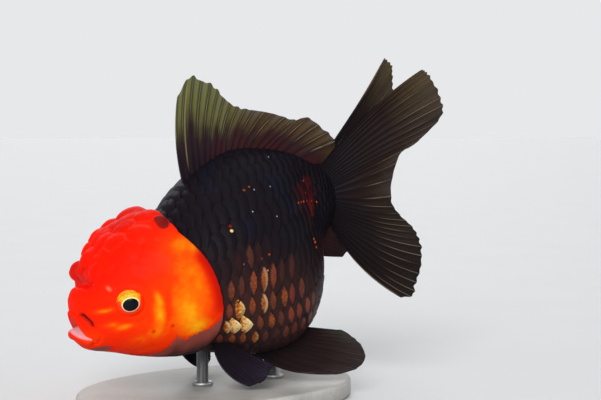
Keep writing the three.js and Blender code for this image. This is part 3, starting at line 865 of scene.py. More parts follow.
def skinMaterial():
    material, tree, shader = newMaterial("oranda skin", {
        "Coat Weight": 0.01, "Coat Roughness": 0.2, "Specular IOR Level": 0.035})
    place = objectPlace(tree)
    warmth, margin, flush, bronze, ruby = attributes(tree, "warmth", "margin", "flush", "bronze", "ruby")
    valley, crease, nostrilHighlight, slitShade = attributes(tree, "valley", "crease", "nostrilHighlight", "slitShade")
    onTrunk, palate, inMouth = attributes(tree, "onTrunk", "palate", "inMouth")
    head = useGroup(tree, headColourGroup(), "Color", {
        "Place": place, "Warmth": warmth, "Margin": margin, "Flush": flush})
    trunk = useGroup(tree, darkBody, "Color", {"Place": place, "Bronze": bronze, "Ruby": ruby})
    # painted shade: the valleys between the lobes darkened towards deep red
    head = (valley * 0.22).mix(head, colours["flush"])
    # painted highlight: a pale pink line where two lobes meet
    head = (crease * 0.3).mix(head, colours["crease"])
    # painted highlight by the nostril
    head = (nostrilHighlight * 0.8).mix(head, colours["nostrilHighlight"])
    # painted shade in the jaw slit
    head = slitShade.mix(head, colours["slitShade"])
    wet = place.grain(1.5).fade(0.4, 0.62, 0, 0.35).mix(colours["mouth"], colours["gum"])
    wet = palate.mix(wet, colours["palate"])
    lumps = place.grain(1.9, 3, 0.5)
    height = place.grain(0.55, 3, 0.6) * 0.35 + lumps
    feed(shader, {
        "Base Color": inMouth.mix(onTrunk.mix(head, trunk), wet),
        "Normal": height.relief(0.35, 0.16), "Roughness": lumps.fade(0.3, 0.7, 0.44, 0.56)})
    return material


def makeSkin():
    mesh, u, v = gridMesh("skin", skin["around"], rowTotal)
    angle = u * 2 * pi - pi
    row = np.rint(v * rowTotal)
    points = np.zeros((len(u), 3))
    start = 0
    for name, pointAt in skinSections.items():
        count = skin["rows"][name]
        last = start + count == rowTotal
        here = (row >= start) & ((row < start + count) | last)
        points[here] = pointAt((row[here] - start) / count, angle[here])
        start += count
    movePoints(mesh, points)
    # the wet lining comes further out over the lower lip than over the upper
    wetTo = rowsBefore("lips") + 1 + 2.2 * ease(np.abs(angle), lips["corner"], lips["corner"] + 0.8)
    palate = 1 - ease(np.abs(angle), 1.2, 2.1)
    writeAttributes(mesh, row=row, inMouth=ease(row, wetTo + 3, wetTo), palate=palate)
    cleanMesh(mesh, 0.002)
    points, row = placesOf(mesh), readAttribute(mesh, "row")
    headStart, foldStart = rowsBefore("head"), rowsBefore("fold")
    inHead = ease(row, headStart - 2, headStart + 4)
    inRim = ease(row, foldStart + 12, foldStart + 6)
    relief = headRelief(points, inHead, inRim)
    moved = points + readValues(mesh.vertices, "normal", 3) * relief[:, None]
    hood, behind = domes(points, lobeList())
    # painted shade darkens the ground between the lobes, and a painted highlight pales the line where two of
    # them meet, as if its thin edge caught the light
    valley = ease(hood, 0.7, 0.0) * ease(np.abs(headTurn(points)), 0.95, 0.6) * inRim
    valley *= inHead * ease(points[:, 0], 7, 9)
    crease = bump(hood - behind, 0.09) * ease(hood, 0.6, 1.2) * ease(points[:, 0], 8, 10)
    crease *= inHead * ease(row, foldStart, foldStart - 4)
    onTrunk = ease(row, foldStart + 8, foldStart + 11)
    writeAttributes(mesh, valley=valley, crease=crease, onTrunk=onTrunk)
    writeAttributes(mesh, **headMarkings(points), **bodyMarkings(points))
    mesh.attributes.remove(mesh.attributes["row"])
    movePoints(mesh, toModel(moved))
    showPiece(
        "skin", mesh, skinMaterial(), "head_skin", "trunk", "tail_peduncle", "hood", "face",
        "upper_lip", "lower_lip", "gill_cover_left", "gill_cover_right")


makeSkin()
print("skin made")

# Scales: rows along the body, staggered, each plate lying over the root of the one behind

scales = dict(
    rows=26,            # round the whole body
    front=22, rear=104,  # x of the first and last scales
    pitch=3.6,          # from one scale to the next along a row, where the body is deepest
    pitchAtTail=0.5,    # as a share of that
    shrinkFrom=78,      # x where the pitch starts to shrink
    length=2.1,         # in pitches
    halfHeight=0.8,     # in row spacings
    rise=0.5,           # how far the free edge stands over the skin
    thickness=0.11,
    arc=(0.4, 0.55),    # how far the sides of the free edge fall back, in lengths: round and pointed scales
    bow=(2.0, 1.3),     # and how round that edge is
    lens=(0.68, 0.42),  # where the coloured lens of a scale starts, in lengths
    lean=0.34,          # how far the upper side of a scale lies behind the lower, on the upper flank
    across=8, along=3,  # faces of one scale
    bakePatch=0.003,    # its share of the skin's unwrap
    seed=11,
)


def pitchAt(x):
    return scales["pitch"] * lerp(scales["pitchAtTail"], 1.0, ease(x, scales["rear"], scales["shrinkFrom"]))


def scaleStations():
    # x of the scales of the even rows; the odd rows lie half way between
    stations = [float(scales["front"])]
    while stations[-1] < scales["rear"]:
        stations.append(stations[-1] + pitchAt(stations[-1]) * 0.97)
    return np.array(stations)


def scaleRoots(side):
    # x and angle of each root on one half of the body
    stations = scaleStations()
    x, angle = [], []
    for row in range(scales["rows"] // 2):
        turn = side * (row + 0.5) * 2 * pi / scales["rows"]
        places = stations if row % 2 == 0 else (stations[1:] + stations[:-1]) / 2
        first = rimX(turn) - 2.0 - scales["pitch"] * 0.5
        places = places[(places > first) & (places < scales["rear"] - 0.5)]
        x += list(places)
        angle += [turn] * len(places)
    return np.array(x), np.array(angle)


def copiesOf(name, mesh, count):
    # one mesh that holds count copies of a mesh, all in one place
    piece = bpy.data.objects.new(name, mesh)
    bpy.context.scene.collection.objects.link(piece)
    array = piece.modifiers.new("copies", "ARRAY")
    array.count = count
    array.use_relative_offset = False
    evaluated = piece.evaluated_get(bpy.context.evaluated_depsgraph_get())
    joined = bpy.data.meshes.new_from_object(evaluated)
    bpy.data.objects.remove(piece)
    return joined


def scaleMaterial():
    material, tree, shader = newMaterial("oranda scales", {"Specular IOR Level": 0.035})
    place = objectPlace(tree)
    pattern = addNode(tree, "ShaderNodeUVMap", "UV", uv_map="scale")
    along, across = pattern.part("X"), pattern.part("Y") - 0.5
    bronze, ruby, chance, pointed = attributes(tree, "bronze", "ruby", "chance", "pointed")
    base = useGroup(tree, darkBody, "Color", {"Place": place, "Bronze": bronze, "Ruby": ruby})
    off = across.math("ABSOLUTE") * 2.0
    speckle = place.grain(0.7, 4, 0.7)
    # how far along the scale, measured on the scale itself
    arc, bow, start = (pointed.fade(0.0, 1.0, *scales[name]) for name in ("arc", "bow", "lens"))
    run = along * (1.0 - off.math("POWER", bow) * arc) + (speckle - 0.5) * 0.2
    # the coloured part is a lens against the free edge, bowed forward in front
    inside = run - (start + off * off * pointed.fade(0.0, 1.0, 0.4, 0.14))
    lens = inside.fade(-0.02, 0.07) * along.fade(1.0, 0.97)
    # each scale has its own share of the bronze, and some are redder
    share = (bronze * chance.fade(0.0, 1.0, 0.54, 1.24)).math("MAXIMUM", pointed * 0.98)
    lit = share * speckle.fade(0.3, 0.7, 0.62, 1.34) * inside.fade(0.0, 0.4, 0.68, 1.08)
    warm = lit.ramp(
        (0.0, rgb(66, 40, 38)), (0.3, rgb(112, 60, 44)), (0.5, rgb(160, 80, 32)),
        (0.75, rgb(210, 142, 62)), (1.0, rgb(240, 206, 140)))
    redder = (chance * 7.3).math("FRACT").fade(0.55, 0.95, 0.0, 0.55) * bronze.fade(0.9, 0.6)
    warm = redder.mix(warm, rgb(134, 58, 46))
    shown = lens * share.fade(0.05, 0.3)
    painted = shown.mix(base, warm)
    # bright thin edges where the bronze is strongest, a painted highlight on the free rim, and red glints
    lip = along.fade(0.86, 0.92) * off.fade(0.66, 0.4) * share.fade(0.6, 0.95)
    painted = lip.mix(painted, rgb(252, 224, 166))
    glint = lens * ruby * chance.fade(0.2, 0.7, 0.0, 0.5)
    # ridges that fan from the root, and rings round it
    fan = (across.math("ARCTAN2", along + 0.25) * 46).math("SINE")
    ring = (run * 95).math("SINE")
    feed(shader, {
        "Base Color": glint.mix(painted, rgb(150, 36, 18)),
        "Normal": (fan * 0.5 + ring * 0.3).relief(0.25, 0.05),
        "Roughness": speckle.fade(0.3, 0.7, 0.4, 0.52),
        "Metallic": shown * 0.2})
    return material


def surfaceFrame(x, angle):
    # a point of the trunk's skin with its outward normal and its stretch along x and round the body
    step = 0.02
    here = trunkSkin(x, angle)
    alongX = (trunkSkin(x + step, angle) - trunkSkin(x - step, angle)) / (2 * step)
    roundIt = (trunkSkin(x, angle + step) - trunkSkin(x, angle - step)) / (2 * step)
    normal = unit(np.cross(alongX, roundIt))
    return here, normal, np.linalg.norm(alongX, axis=-1), np.linalg.norm(roundIt, axis=-1)


def makeScales(side, name, material):
    x, angle = scaleRoots(side)
    random = np.random.default_rng(scales["seed"] + side)
    chance = random.uniform(0, 1, len(x))
    template, a, b = gridMesh("scale", scales["along"], scales["across"], thick=True)
    b = b * 2 - 1
    outer = readAttribute(template, "side")
    loopsEach = len(template.loops)
    mesh = copiesOf(name, template, len(x))
    # sizes of each scale
    _, _, stretchX, stretchRound = surfaceFrame(x, angle)
    spacing = stretchRound * 2 * pi / scales["rows"]
    length = (pitchAt(x) * scales["length"] * lerp(0.94, 1.06, chance))[:, None]
    half = (spacing * scales["halfHeight"])[:, None]
    small = (coatDepthAt(x) / skin["coatDepth"])[:, None]
    middles = trunkSkin(x + length[:, 0] * 0.75, angle)
    marks = bodyMarkings(middles)
    pointed = marks["pointed"][:, None]
    fall = lerp(*scales["arc"], pointed) * np.abs(b) ** lerp(*scales["bow"], pointed)
    run = a * (1 - fall) * length
    narrow = 0.82 + 0.18 * np.sin(np.clip(a * 1.4, 0, 1) * pi / 2)
    lean = scales["lean"] * ease(np.cos(angle), -0.5, 0.0)[:, None]
    flatX = x[:, None] + (run - side * b * narrow * half * lean * a) / stretchX[:, None]
    flatAngle = angle[:, None] + b * narrow * half / stretchRound[:, None]
    place, normal, _, _ = surfaceFrame(flatX, flatAngle)
    tilt = (random.uniform(-0.06, 0.06, len(x)))[:, None]
    height = small * (0.08 + (scales["rise"] + tilt * b) * run / length - 0.05 * b**2 * a)
    height = height + small * (outer - 1) * scales["thickness"]
    points = place + normal * height[..., None]
    movePoints(mesh, toModel(points.reshape(-1, 3)))
    # markings at the root of each scale
    count = len(a)
    marks["chance"] = chance
    writeAttributes(mesh, **{mark: np.repeat(values, count) for mark, values in marks.items()})
    mesh.attributes.remove(mesh.attributes["side"])
    # the pattern's own map, and a small patch at the root's place in the skin's unwrap
    flat = readValues(mesh.uv_layers["OFBake"].data, "uv", 2)
    writeUv(mesh, "scale", flat)
    local = flat.reshape(len(x), loopsEach, 2)
    rootU, rootV = trunkUv(x, angle)
    root = np.stack([np.clip(rootU, 0.002, 0.998), rootV], -1)[:, None, :]
    patches = root + (local[..., ::-1] - 0.5) * scales["bakePatch"]
    writeUv(mesh, "OFBake", patches)
    cleanMesh(mesh)
    return showPiece(name, mesh, material, "scaled_skin")


coatMaterial = scaleMaterial()
for side, word in bothSides:
    piece = makeScales(side, f"scales_{word}", coatMaterial)
    print(f"scales_{word}:", len(piece.data.polygons), "faces")

# Fins: fans of rays with thin skin between them

fins = dict(
    # dorsal: place along the base, lift, bend, length
    dorsal=dict(front=52, rear=93, drawnOut=3.5, sunk=3.2, rays=[
        [0, 89, -26, 28.7], [0.07, 84, -24, 33.6], [0.14, 79, -20, 31.3], [0.22, 73, -18, 27],
        [0.3, 69, -18, 21.7], [0.4, 63, -18, 16.7], [0.5, 55, -20, 15.6], [0.6, 42, -20, 16.2],
        [0.7, 28, -16, 17.2], [0.8, 26, -12, 19.0], [0.88, 16, -12, 18.1], [0.95, 8, -10, 16.1],
        [1, -17, -8, 10.6]]),
    # the others: place along the root, lift, bend, spread to the side, length
    tail=dict(x=103, top=17, bottom=2, apart=1.5, sunk=2.5, spreadBend=8, rays=[
        [0, 36, -20, 14, 52], [0.08, 36, -20, 15, 53], [0.16, 32, -18, 15, 53.4], [0.24, 24, -14, 16, 52],
        [0.32, 16, -8, 17, 49], [0.4, 9, 0, 18, 38.6], [0.46, 4, 8, 19, 29.8], [0.52, -13, 14, 21, 24],
        [0.56, -29, 17, 22, 23.4], [0.62, -40, 23, 24, 27], [0.68, -47, 29, 26, 32], [0.76, -55, 34, 27, 36],
        [0.84, -65, 36, 28, 39.6], [0.92, -76, 38, 28, 41.8], [0.96, -80, 39, 28, 43.2],
        [1, -85, 40, 28, 40]]),
    # how each half of the tail is held; fuller is where its upper tip is rounder, how much lower and longer
    tailHeld={
        -1: dict(lift=(0, 0), bend=0, spread=0, length=(1, 1), fuller=(0.13, 0, 0)),
        1: dict(lift=(-8, 16), bend=26, spread=-10, length=(1.04, 0.86), fuller=(0.13, -4, 0.05))},
    # the paired ones also: faces across and along, thickness at the root, scallops of the edge
    pectoral=dict(root=[[41, 17.5, -17.5], [38, 16, -18.5]],
        spreadBend=-6, faces=(130, 36), thick=1.8, scallop=0.012, rays=[
        [0, -52, 8, 26, 20.2], [0.25, -58, 8, 26, 21.2], [0.5, -67, 14, 26, 21.7],
        [0.75, -82, 36, 25, 21.6], [1, -102, 66, 22, 21.6]]),
    pelvic=dict(root=[[68.5, 10, -25.6], [53.4, 8.5, -28.8]],
        spreadBend=4, faces=(130, 48), thick=1.8, scallop=0.015, rays=[
        [0, -33, 10, 22, 15.2], [0.15, -26, 8, 21, 21.3], [0.3, -28, 6, 20, 28.3], [0.45, -30, 4, 19, 33.9],
        [0.6, -35, 6, 19, 37], [0.75, -40, 12, 21, 36.4], [0.9, -53, 32, 24, 31.7], [1, -66, 54, 26, 25.2]]),
    anal=dict(root=[[99.2, 1.3, -0.6], [91.5, 2.5, -10.5]],
        spreadBend=4, faces=(90, 24), thick=1.4, scallop=0.03, rays=[
        [0, -57, 6, 8, 10.3], [0.5, -45, 5, 8.5, 11.2], [1, -25, 4, 9, 10.1]]),
)


def dorsalFan():
    made = fins["dorsal"]
    rays = curveThrough(made["rays"])

    def at(u):
        x = lerp(made["front"], made["rear"], u) + made["drawnOut"] * ease(u, 0.75, 1)
        lift, bend, length = np.moveaxis(rays(u), -1, 0)
        root = np.stack([x, 0 * x, trunkAt(x)[..., 0] - made["sunk"]], -1)
        return dict(root=root, lift=lift, spread=0 * u, length=length + made["sunk"], bend=(bend, 0))
    return at


def tailFan(side, start, end):
    made, held = fins["tail"], fins["tailHeld"][side]
    rays = curveThrough(made["rays"])

    def at(t):
        u = lerp(start, end, t)
        lift, bend, spread, length = np.moveaxis(rays(u), -1, 0)
        where, lower, longer = held["fuller"]
        fuller = bump(u - where, 0.09)
        z = lerp(made["top"], made["bottom"], u)
        root = np.stack([made["x"] - made["sunk"] + 0 * u, side * made["apart"] + 0 * u, z], -1)
        return dict(
            root=root, lift=lift + lerp(*held["lift"], u) + lower * fuller, spread=spread + held["spread"],
            length=length * (lerp(*held["length"], u) + longer * fuller) + made["sunk"],
            bend=(bend + held["bend"] * (1 - u), made["spreadBend"]))
    return at


def pairedFan(side, made):
    rays = curveThrough(made["rays"])
    first, last = (np.array(place, float) * [1, side, 1] for place in made["root"])

    def at(u):
        lift, bend, spread, length = np.moveaxis(rays(u), -1, 0)
        root = first + (last - first) * np.asarray(u)[..., None]
        return dict(root=root, lift=lift, spread=spread, length=length, bend=(bend, made["spreadBend"]))
    return at


def fanPoint(fan, side, u, v):
    # u runs over the rays and v from root to tip
    steps = 20
    ray = fan(u)
    total = 0
    for k in range(steps):
        part = v * (k + 0.5) / steps
        lift = np.radians(ray["lift"] + ray["bend"][0] * part)
        spread = np.radians(ray["spread"] + ray["bend"][1] * part)
        total = total + np.stack([
            np.cos(lift) * np.cos(spread), side * np.cos(lift) * np.sin(spread), np.sin(lift)], -1)
    return ray["root"] + total / steps * (ray["length"] * v)[..., None]


def finMaterial(name, look):
    # patterns from the fin's own map: across the rays in X, root to tip in Y
    material, tree, shader = newMaterial(name, {"Specular IOR Level": 0.05})
    pattern = addNode(tree, "ShaderNodeUVMap", "UV", uv_map="rays")
    across, out = pattern.part("X"), pattern.part("Y")
    cloud = objectPlace(tree).grain(5, 4, 0.6)
    # uneven streaks that run with the rays
    stretch = (look["rays"] * look["streaks"], 1.2, 1)
    stretched = addNode(tree, "ShaderNodeMapping", 0, {"Vector": pattern, "Scale": stretch})
    streak = stretched.grain(1000, 2, 0.5)
    uneven = (streak - 0.5) * look["uneven"]
    reach = out + (uneven + (cloud - 0.5) * 0.2)
    edge = across.fade(0.2, 0.6).mix(look["outer"], look["outerRear"])
    tone = reach.ramp((0.15, look["root"]), (0.6, look["middle"]))
    tone = reach.fade(*look["edge"]).mix(tone, edge)
    strength, tint, start = look["warm"]
    glow = reach.fade(0.65, 0.15) * across.fade(start, start + 0.3, 0, strength)
    tone = glow.mix(tone, tint)
    # dark rays between lighter skin, with pale thin lines on some of them near the edge
    wave = ((across + uneven * 0.012) * (look["rays"] * 2 * pi)).math("COSINE")
    dark = wave.fade(-0.5, 0.7, 0.0, look["stripe"]) * streak.fade(0.3, 0.6, 0.5, 1.0)
    tone = dark.mix(tone, look["root"])
    line = wave.fade(0.93, 0.995)
    pale = line * out.fade(look["rayFrom"], look["rayFrom"] + 0.3) * streak.fade(0.4, 0.56)
    where, wide, along = look["lead"]
    lead = (across - where).math("ABSOLUTE").fade(wide, wide * 0.4) * out.fade(along - 0.1, along + 0.1)
    pale = pale.math("MAXIMUM", lead * out.fade(1.0, 0.9))
    # the skin between the rays thins out towards the edge
    thin = reach.fade(0.6, 1.15) * (1.0 - pale)
    joints = (out * 190).math("SINE")
    feed(shader, {
        "Base Color": (pale * 0.55).mix(tone, look["ray"]),
        "Alpha": 1.0 - thin * look["clear"],
        "Normal": (line * (joints * 0.12 + 1.0) + cloud * 0.4).relief(0.3, 0.1),
        "Roughness": cloud.fade(0.3, 0.7, 0.42, 0.56)})
    return material


def makeFin(name, fan, side, across, along, rays, thickness, ragged=0.02, scallop=0.03, wave=0.6):
    mesh, u, v = gridMesh(name, across, along, thick=True)
    half = readAttribute(mesh, "side") - 0.5
    # the edge falls back between the rays, and each ray ends at its own length
    near = np.rint(u * rays)
    between = 0.5 - 0.5 * np.cos(2 * pi * u * rays)
    own = scatter(near * 3.7 + rays)
    tip = v**3 * (scallop * between + ragged * own * (1 - between))
    out = v * (1 - tip)
    step = 0.004
    middle = fanPoint(fan, side, u, out)
    before, after = (np.clip(u + shift, 0, 1) for shift in (-step, step))
    nearer, further = (np.clip(out + shift, 0, 1) for shift in (-step, step))
    over = fanPoint(fan, side, after, out) - fanPoint(fan, side, before, out)
    down = fanPoint(fan, side, u, further) - fanPoint(fan, side, u, nearer)
    normal = unit(np.cross(over, down))
    # rays stand out as ridges, the skin between them is pleated
    forked = ease(v, 0.45, 0.7)
    ridge = lerp((1 - between) ** 3, (0.5 - 0.5 * np.cos(4 * pi * u * rays)) ** 2 * 0.7, forked)
    wide = lerp(thickness[0], thickness[1], np.sqrt(v)) * lerp(0.78, 1.0, ridge)
    wide = wide * lerp(1.0, 0.55, ease(v, 0.93, 1.0))
    pleat = 0.1 * np.sin(v * pi * 0.8) * np.cos(2 * pi * u * rays)
    swell = wave * v**1.5 * np.sin(u * 9 + v * 3) * np.sin(u * pi)
    points = middle + normal * (half * wide + pleat + swell)[:, None]
    movePoints(mesh, toModel(points))
    mesh.uv_layers["OFBake"].name = "rays"
    mesh.attributes.remove(mesh.attributes["side"])
    cleanMesh(mesh, 1e-7)
    return mesh


def finLook(tones, **changes):
    # tones: root, middle, outer edge in front and at the rear, pale rays
    plain = dict(
        stripe=0.3,            # strength of the dark rays
        edge=(0.55, 0.95),     # from where to where the outer tone takes over
        streaks=0.8, uneven=0.4,
        warm=(0.0, rgb(70, 24, 22), 0.0),   # glow near the root: strength, colour, how far back it starts
        lead=(0.5, 0.001, 1.5),             # one pale ray: place, width, start
    )
    names = ("root", "middle", "outer", "outerRear", "ray")
    return plain | {name: rgb(*tone) for name, tone in zip(names, tones)} | changes


# rays is how many there are, rayFrom where the pale ones start, clear how thin the skin gets at the edge
finLooks = dict(
    dorsal=finLook(
        [(34, 24, 32), (52, 36, 32), (104, 106, 58), (80, 60, 36), (150, 142, 98)],
        rays=20, rayFrom=0.35, clear=0.22, stripe=0.8, edge=(0.36, 0.85), streaks=1.0, uneven=1.0,
        warm=(0.7, rgb(64, 24, 22), 0.12), lead=(0.065, 0.008, 0.2)),
    tailUpper=finLook(
        [(22, 18, 23), (34, 22, 20), (74, 60, 36), (46, 36, 28), (136, 112, 88)],
        rays=16, rayFrom=0.55, clear=0.16, stripe=0.35, edge=(0.6, 1.02), lead=(0.004, 0.004, 0.6)),
    tailLower=finLook(
        [(22, 18, 23), (28, 20, 19), (36, 28, 22), (32, 24, 22), (136, 120, 100)],
        rays=14, rayFrom=0.5, clear=0.08, stripe=0.35, edge=(0.5, 0.95), lead=(0.99, 0.008, 0.4)),
    pectoral=finLook(
        [(22, 15, 21), (30, 22, 33), (40, 32, 46), (40, 32, 46), (104, 96, 110)],
        rays=11, rayFrom=0.8, clear=0.12, lead=(0.985, 0.01, 0.2)),
    pelvic=finLook(
        [(25, 18, 20), (36, 22, 22), (48, 46, 40), (44, 34, 33), (90, 78, 70)],
        rays=13, rayFrom=0.65, clear=0.16, uneven=0.5),
    anal=finLook(
        [(44, 24, 24), (34, 22, 24), (28, 22, 24), (28, 22, 24), (90, 60, 50)],
        rays=8, rayFrom=0.7, clear=0.06, streaks=1.2, uneven=0.9),
)
finMaterials = {key: finMaterial(f"fin {key}", look) for key, look in finLooks.items()}


def addFin(name, fan, side, look, across, along, thickness, *replaced, **shape):
    mesh = makeFin(name, fan, side, across, along, finLooks[look]["rays"], thickness, **shape)
    showPiece(name, mesh, finMaterials[look], "fin", *replaced)


addFin("dorsal_fin_skin", dorsalFan(), 1, "dorsal", 240, 60, (2.2, 0.5),
       "dorsal_fin", ragged=0.03, wave=0.9)
for side, word in bothSides:
    addFin(f"tail_top_{word}", tailFan(side, 0, 0.55), side, "tailUpper", 200, 70, (2.0, 0.45),
           f"tail_upper_lobe_{word}", ragged=0.008, scallop=0.012, wave=1.2)
    addFin(f"tail_low_{word}", tailFan(side, 0.55, 1), side, "tailLower", 180, 60, (2.0, 0.45),
           f"tail_lower_lobe_{word}", ragged=0.012, scallop=0.018, wave=1.0)
    for fin in ("pectoral", "pelvic", "anal"):
        made = fins[fin]
        addFin(f"{fin}_{word}", pairedFan(side, made), side, fin, *made["faces"], (made["thick"], 0.4),
               f"{fin}_fin_{word}", scallop=made["scallop"])
print("fins made")

# Eyes

eyeLook = dict(pupil=2.5, ring=2.9, iris=4.25, oval=0.8)   # radii along the eye, seen from its front


def eyeMaterial():
    material, tree, shader = newMaterial("oranda eye", {
        "Roughness": 0.3, "Specular IOR Level": 0.1,
        "Coat Weight": 0.12, "Coat Roughness": 0.03, "Coat IOR": 1.45})
    place = objectPlace(tree)
    out, high = attributes(tree, "fromPupil", "high")
    pupil, ring, iris = (eyeLook[name] for name in ("pupil", "ring", "iris"))
    fleck = place.grain(0.45, 4, 0.7)
    gold = fleck.ramp((0.3, rgb(196, 104, 10)), (0.5, rgb(250, 172, 20)), (0.68, rgb(255, 216, 72)))
    rust = fleck.ramp((0.3, rgb(246, 40, 3)), (0.6, rgb(252, 58, 5)))
    blotch = (place.grain(1.3) - 0.5) * 1.6
    painted = (high + blotch).fade(0.22, 0.55).mix(rust, gold)
    paleRing = high.fade(-0.5, 0.8).mix(rgb(255, 196, 158), rgb(255, 238, 150))
    uneven = out + (fleck - 0.5) * 0.12
    painted = uneven.fade(ring - 0.06, ring + 0.1).mix(paleRing, painted)
    painted = out.fade(pupil - 0.05, pupil + 0.06).mix(rgb(9, 11, 18), painted)
    shade = out.fade(iris - 0.15, iris + 0.15, 0.0, 0.3) * high.fade(-0.1, 0.5)
    feed(shader, {
        "Base Color": shade.mix(painted, rgb(150, 30, 6)),
        "Normal": fleck.relief(0.25, 0.06)})
    return material


def makeEye(side, word, material):
    bm = bmesh.new()
    bmesh.ops.create_uvsphere(bm, u_segments=72, v_segments=64, radius=eyes["radius"])
    facing = Vector(eyeFacing(side))
    turn = Vector((0, 0, 1)).rotation_difference(facing).to_matrix()
    bmesh.ops.rotate(bm, cent=(0, 0, 0), matrix=turn, verts=bm.verts[:])
    mesh = meshFrom(bm, f"eye_ball_{word}")
    points = placesOf(mesh)
    ahead = points @ np.array(facing)
    sideways = points - ahead[:, None] * np.array(facing)
    tall = sideways[:, 2] / eyeLook["oval"]
    out = np.where(ahead > 0, np.sqrt(np.sum(sideways[:, :2] ** 2, axis=-1) + tall**2), 9)
    # the lens bulges through the pupil, the iris round it is a little hollow
    pupil, ring = eyeLook["pupil"], eyeLook["ring"]
    proud = 0.16 * ease(out, pupil + 0.05, pupil - 0.3) + 0.06 * bump(out - (pupil + ring) / 2, 0.14)
    proud -= 0.1 * bump(out - ring - 0.35, 0.3)
    writeAttributes(mesh, fromPupil=np.where(out < 9, out, 5), high=sideways[:, 2] / np.maximum(out, 0.1))
    movePoints(mesh, toModel(points * (1 + proud / eyes["radius"])[:, None] + eyeMiddle(side)))
    showPiece(f"eye_ball_{word}", mesh, material, "eye", f"eye_{word}")


irisMaterial = eyeMaterial()
for side, word in bothSides:
    makeEye(side, word, irisMaterial)
print("eyes made")

# Stand: a honed stone plinth and two brushed steel rods

stand = dict(
    length=100, width=64, thickness=6.5, round=1.6, chamfer=1.2, segments=128,
    rod=4, rods=["front", "rear"], tip=0.4, above=0.6,   # a rod's tip ends a little above its own solid
    foot=dict(width=1.5, side=0.8, height=1.3, round=0.5),   # collar where a rod meets the plinth
)


def stoneMaterial():
    material, tree, shader = newMaterial("honed stone", {"Specular IOR Level": 0.4})
    place = objectPlace(tree)
    cloud, fine = place.grain(18, 5, 0.6), place.grain(0.9, 3, 0.7)
    tone = cloud.ramp((0.3, rgb(150, 148, 143)), (0.55, rgb(178, 176, 170)), (0.75, rgb(196, 194, 188)))
    feed(shader, {
        "Base Color": fine.fade(0.62, 0.7, 0.0, 0.5).mix(tone, rgb(112, 110, 106)),
        "Normal": fine.relief(0.2, 0.05),
        "Roughness": cloud.fade(0.3, 0.7, 0.42, 0.56)})
    return material


def steelMaterial():
    material, tree, shader = newMaterial("brushed steel", {"Metallic": 1.0})
    stretched = addNode(tree, "ShaderNodeMapping", 0, {"Vector": objectPlace(tree), "Scale": (8, 8, 0.4)})
    lines = stretched.grain(6, 3, 0.6)
    feed(shader, {
        "Base Color": lines.mix(rgb(186, 188, 190), rgb(214, 215, 216)),
        "Normal": lines.relief(0.15, 0.02),
        "Roughness": lines.fade(0.3, 0.7, 0.42, 0.56)})
    return material


def spun(outline, segments):
    # a profile of (radius, height) in millimetres, spun about the vertical
    bm = bmesh.new()
    verts = [bm.verts.new((radius, 0, height)) for radius, height in outline]
    edges = [bm.edges.new(pair) for pair in zip(verts, verts[1:])]
    bmesh.ops.spin(bm, geom=verts + edges, cent=(0, 0, 0), axis=(0, 0, 1), angle=2 * pi,
                   steps=segments, use_merge=True)
    bmesh.ops.remove_doubles(bm, verts=bm.verts[:], dist=1e-4)
    bmesh.ops.recalc_face_normals(bm, faces=bm.faces[:])
    return bm


def roundedCorner(radius, height, r, steps=8):
    # quarter turn from the outer side up onto the top
    turns = [i / steps * pi / 2 for i in range(steps + 1)]
    return [(radius - r + r * math.cos(t), height - r + r * math.sin(t)) for t in turns]


def makeStand():
    r, top, chamfer = stand["length"] / 2, stand["thickness"], stand["chamfer"]
    outline = [(0, 0), (r - chamfer, 0), (r, chamfer)] + roundedCorner(r, top, stand["round"]) + [(0, top)]
    bm = spun(outline, stand["segments"])
    bmesh.ops.scale(bm, vec=(0.001, 0.001 * stand["width"] / stand["length"], 0.001), verts=bm.verts[:])
    showPiece("stand_plinth", meshFrom(bm, "stand_plinth"), stoneMaterial(), "stand_stone", "stand_base")
    steel = steelMaterial()
    foot, r, tip = stand["foot"], stand["rod"] / 2, stand["tip"]
    footR, footTop = r + foot["width"], top + foot["height"]
    for word in stand["rods"]:
        low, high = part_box(f"stand_rod_{word}")
        tall = high.z * 1000 + stand["above"]
        outline = [(0, top), (footR, top), (footR, top + foot["side"])]
        outline += roundedCorner(footR, footTop, foot["round"], 4)
        outline += [(r, footTop), (r, tall - tip), (r - tip, tall), (0, tall)]
        bm = spun(outline, 64)
        bmesh.ops.scale(bm, vec=(0.001, 0.001, 0.001), verts=bm.verts[:])
        bmesh.ops.translate(bm, vec=((low.x + high.x) / 2, 0, 0), verts=bm.verts[:])
        name = f"stand_post_{word}"
        showPiece(name, meshFrom(bm, name), steel, "stand_steel", f"stand_rod_{word}")


makeStand()
print("stand made")

# Floor, light and camera

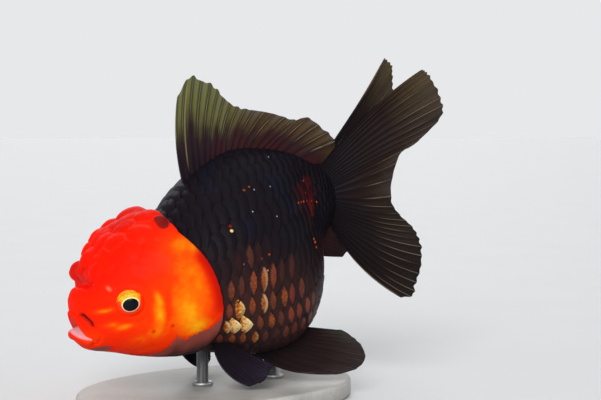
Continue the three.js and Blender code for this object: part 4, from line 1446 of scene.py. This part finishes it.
studio = dict(
    floor=rgb(206, 207, 208), floorLight=rgb(212, 213, 213), floorRadius=40,
    backdrop=rgb(231, 232, 234), room=rgb(138, 140, 144),   # the pale wall, and the light it gives
    lights=[   # where from, strength, softness in degrees
        ((-0.5, -0.65, 0.5), 2.2, 30),
        ((-0.9, -0.25, 0.2), 0.6, 50),
        ((0.1, 0.1, 1.0), 0.7, 60),
        ((0.8, -0.4, 0.35), 0.5, 50),
        ((0.4, 0.8, 0.45), 0.9, 50),
    ],
    camera=dict(place=(-0.1871, -0.3807, 0.0918), tilt=87, heading=-30, lens=74.3),
)


def makeFloor():
    bm = bmesh.new()
    bmesh.ops.create_circle(bm, cap_ends=True, radius=studio["floorRadius"], segments=96)
    mesh = meshFrom(bm, "floor")
    floor = bpy.data.objects.new("floor", mesh)
    bpy.context.scene.collection.objects.link(floor)
    material, tree, shader = newMaterial("studio floor", {"Roughness": 0.6, "Specular IOR Level": 0.25})
    cloud = objectPlace(tree).grain(60)
    feed(shader, {"Base Color": cloud.mix(studio["floor"], studio["floorLight"])})
    mesh.materials.append(material)


def makeLights():
    for place, strength, softness in studio["lights"]:
        light = bpy.data.lights.new("soft light", "SUN")
        light.energy, light.angle = strength, math.radians(softness)
        lamp = bpy.data.objects.new("soft light", light)
        lamp.location = place
        lamp.rotation_euler = Vector(place).to_track_quat("Z", "Y").to_euler()
        bpy.context.scene.collection.objects.link(lamp)
    world = bpy.data.worlds.new("studio")
    world.use_nodes = True
    tree = world.node_tree
    seen = addNode(tree, "ShaderNodeLightPath", "Is Camera Ray")
    feed(tree.nodes["Background"], {"Color": seen.mix(studio["room"], studio["backdrop"])})
    bpy.context.scene.world = world


def makeCamera():
    look = studio["camera"]
    lens = bpy.data.cameras.new("camera")
    lens.lens, lens.sensor_width = look["lens"], 36
    camera = bpy.data.objects.new("camera", lens)
    camera.location = look["place"]
    camera.rotation_euler = (math.radians(look["tilt"]), 0, math.radians(look["heading"]))
    bpy.context.scene.collection.objects.link(camera)
    bpy.context.scene.camera = camera


makeFloor()
makeLights()
makeCamera()
bpy.context.scene.view_settings.view_transform = "Standard"
print("studio made")
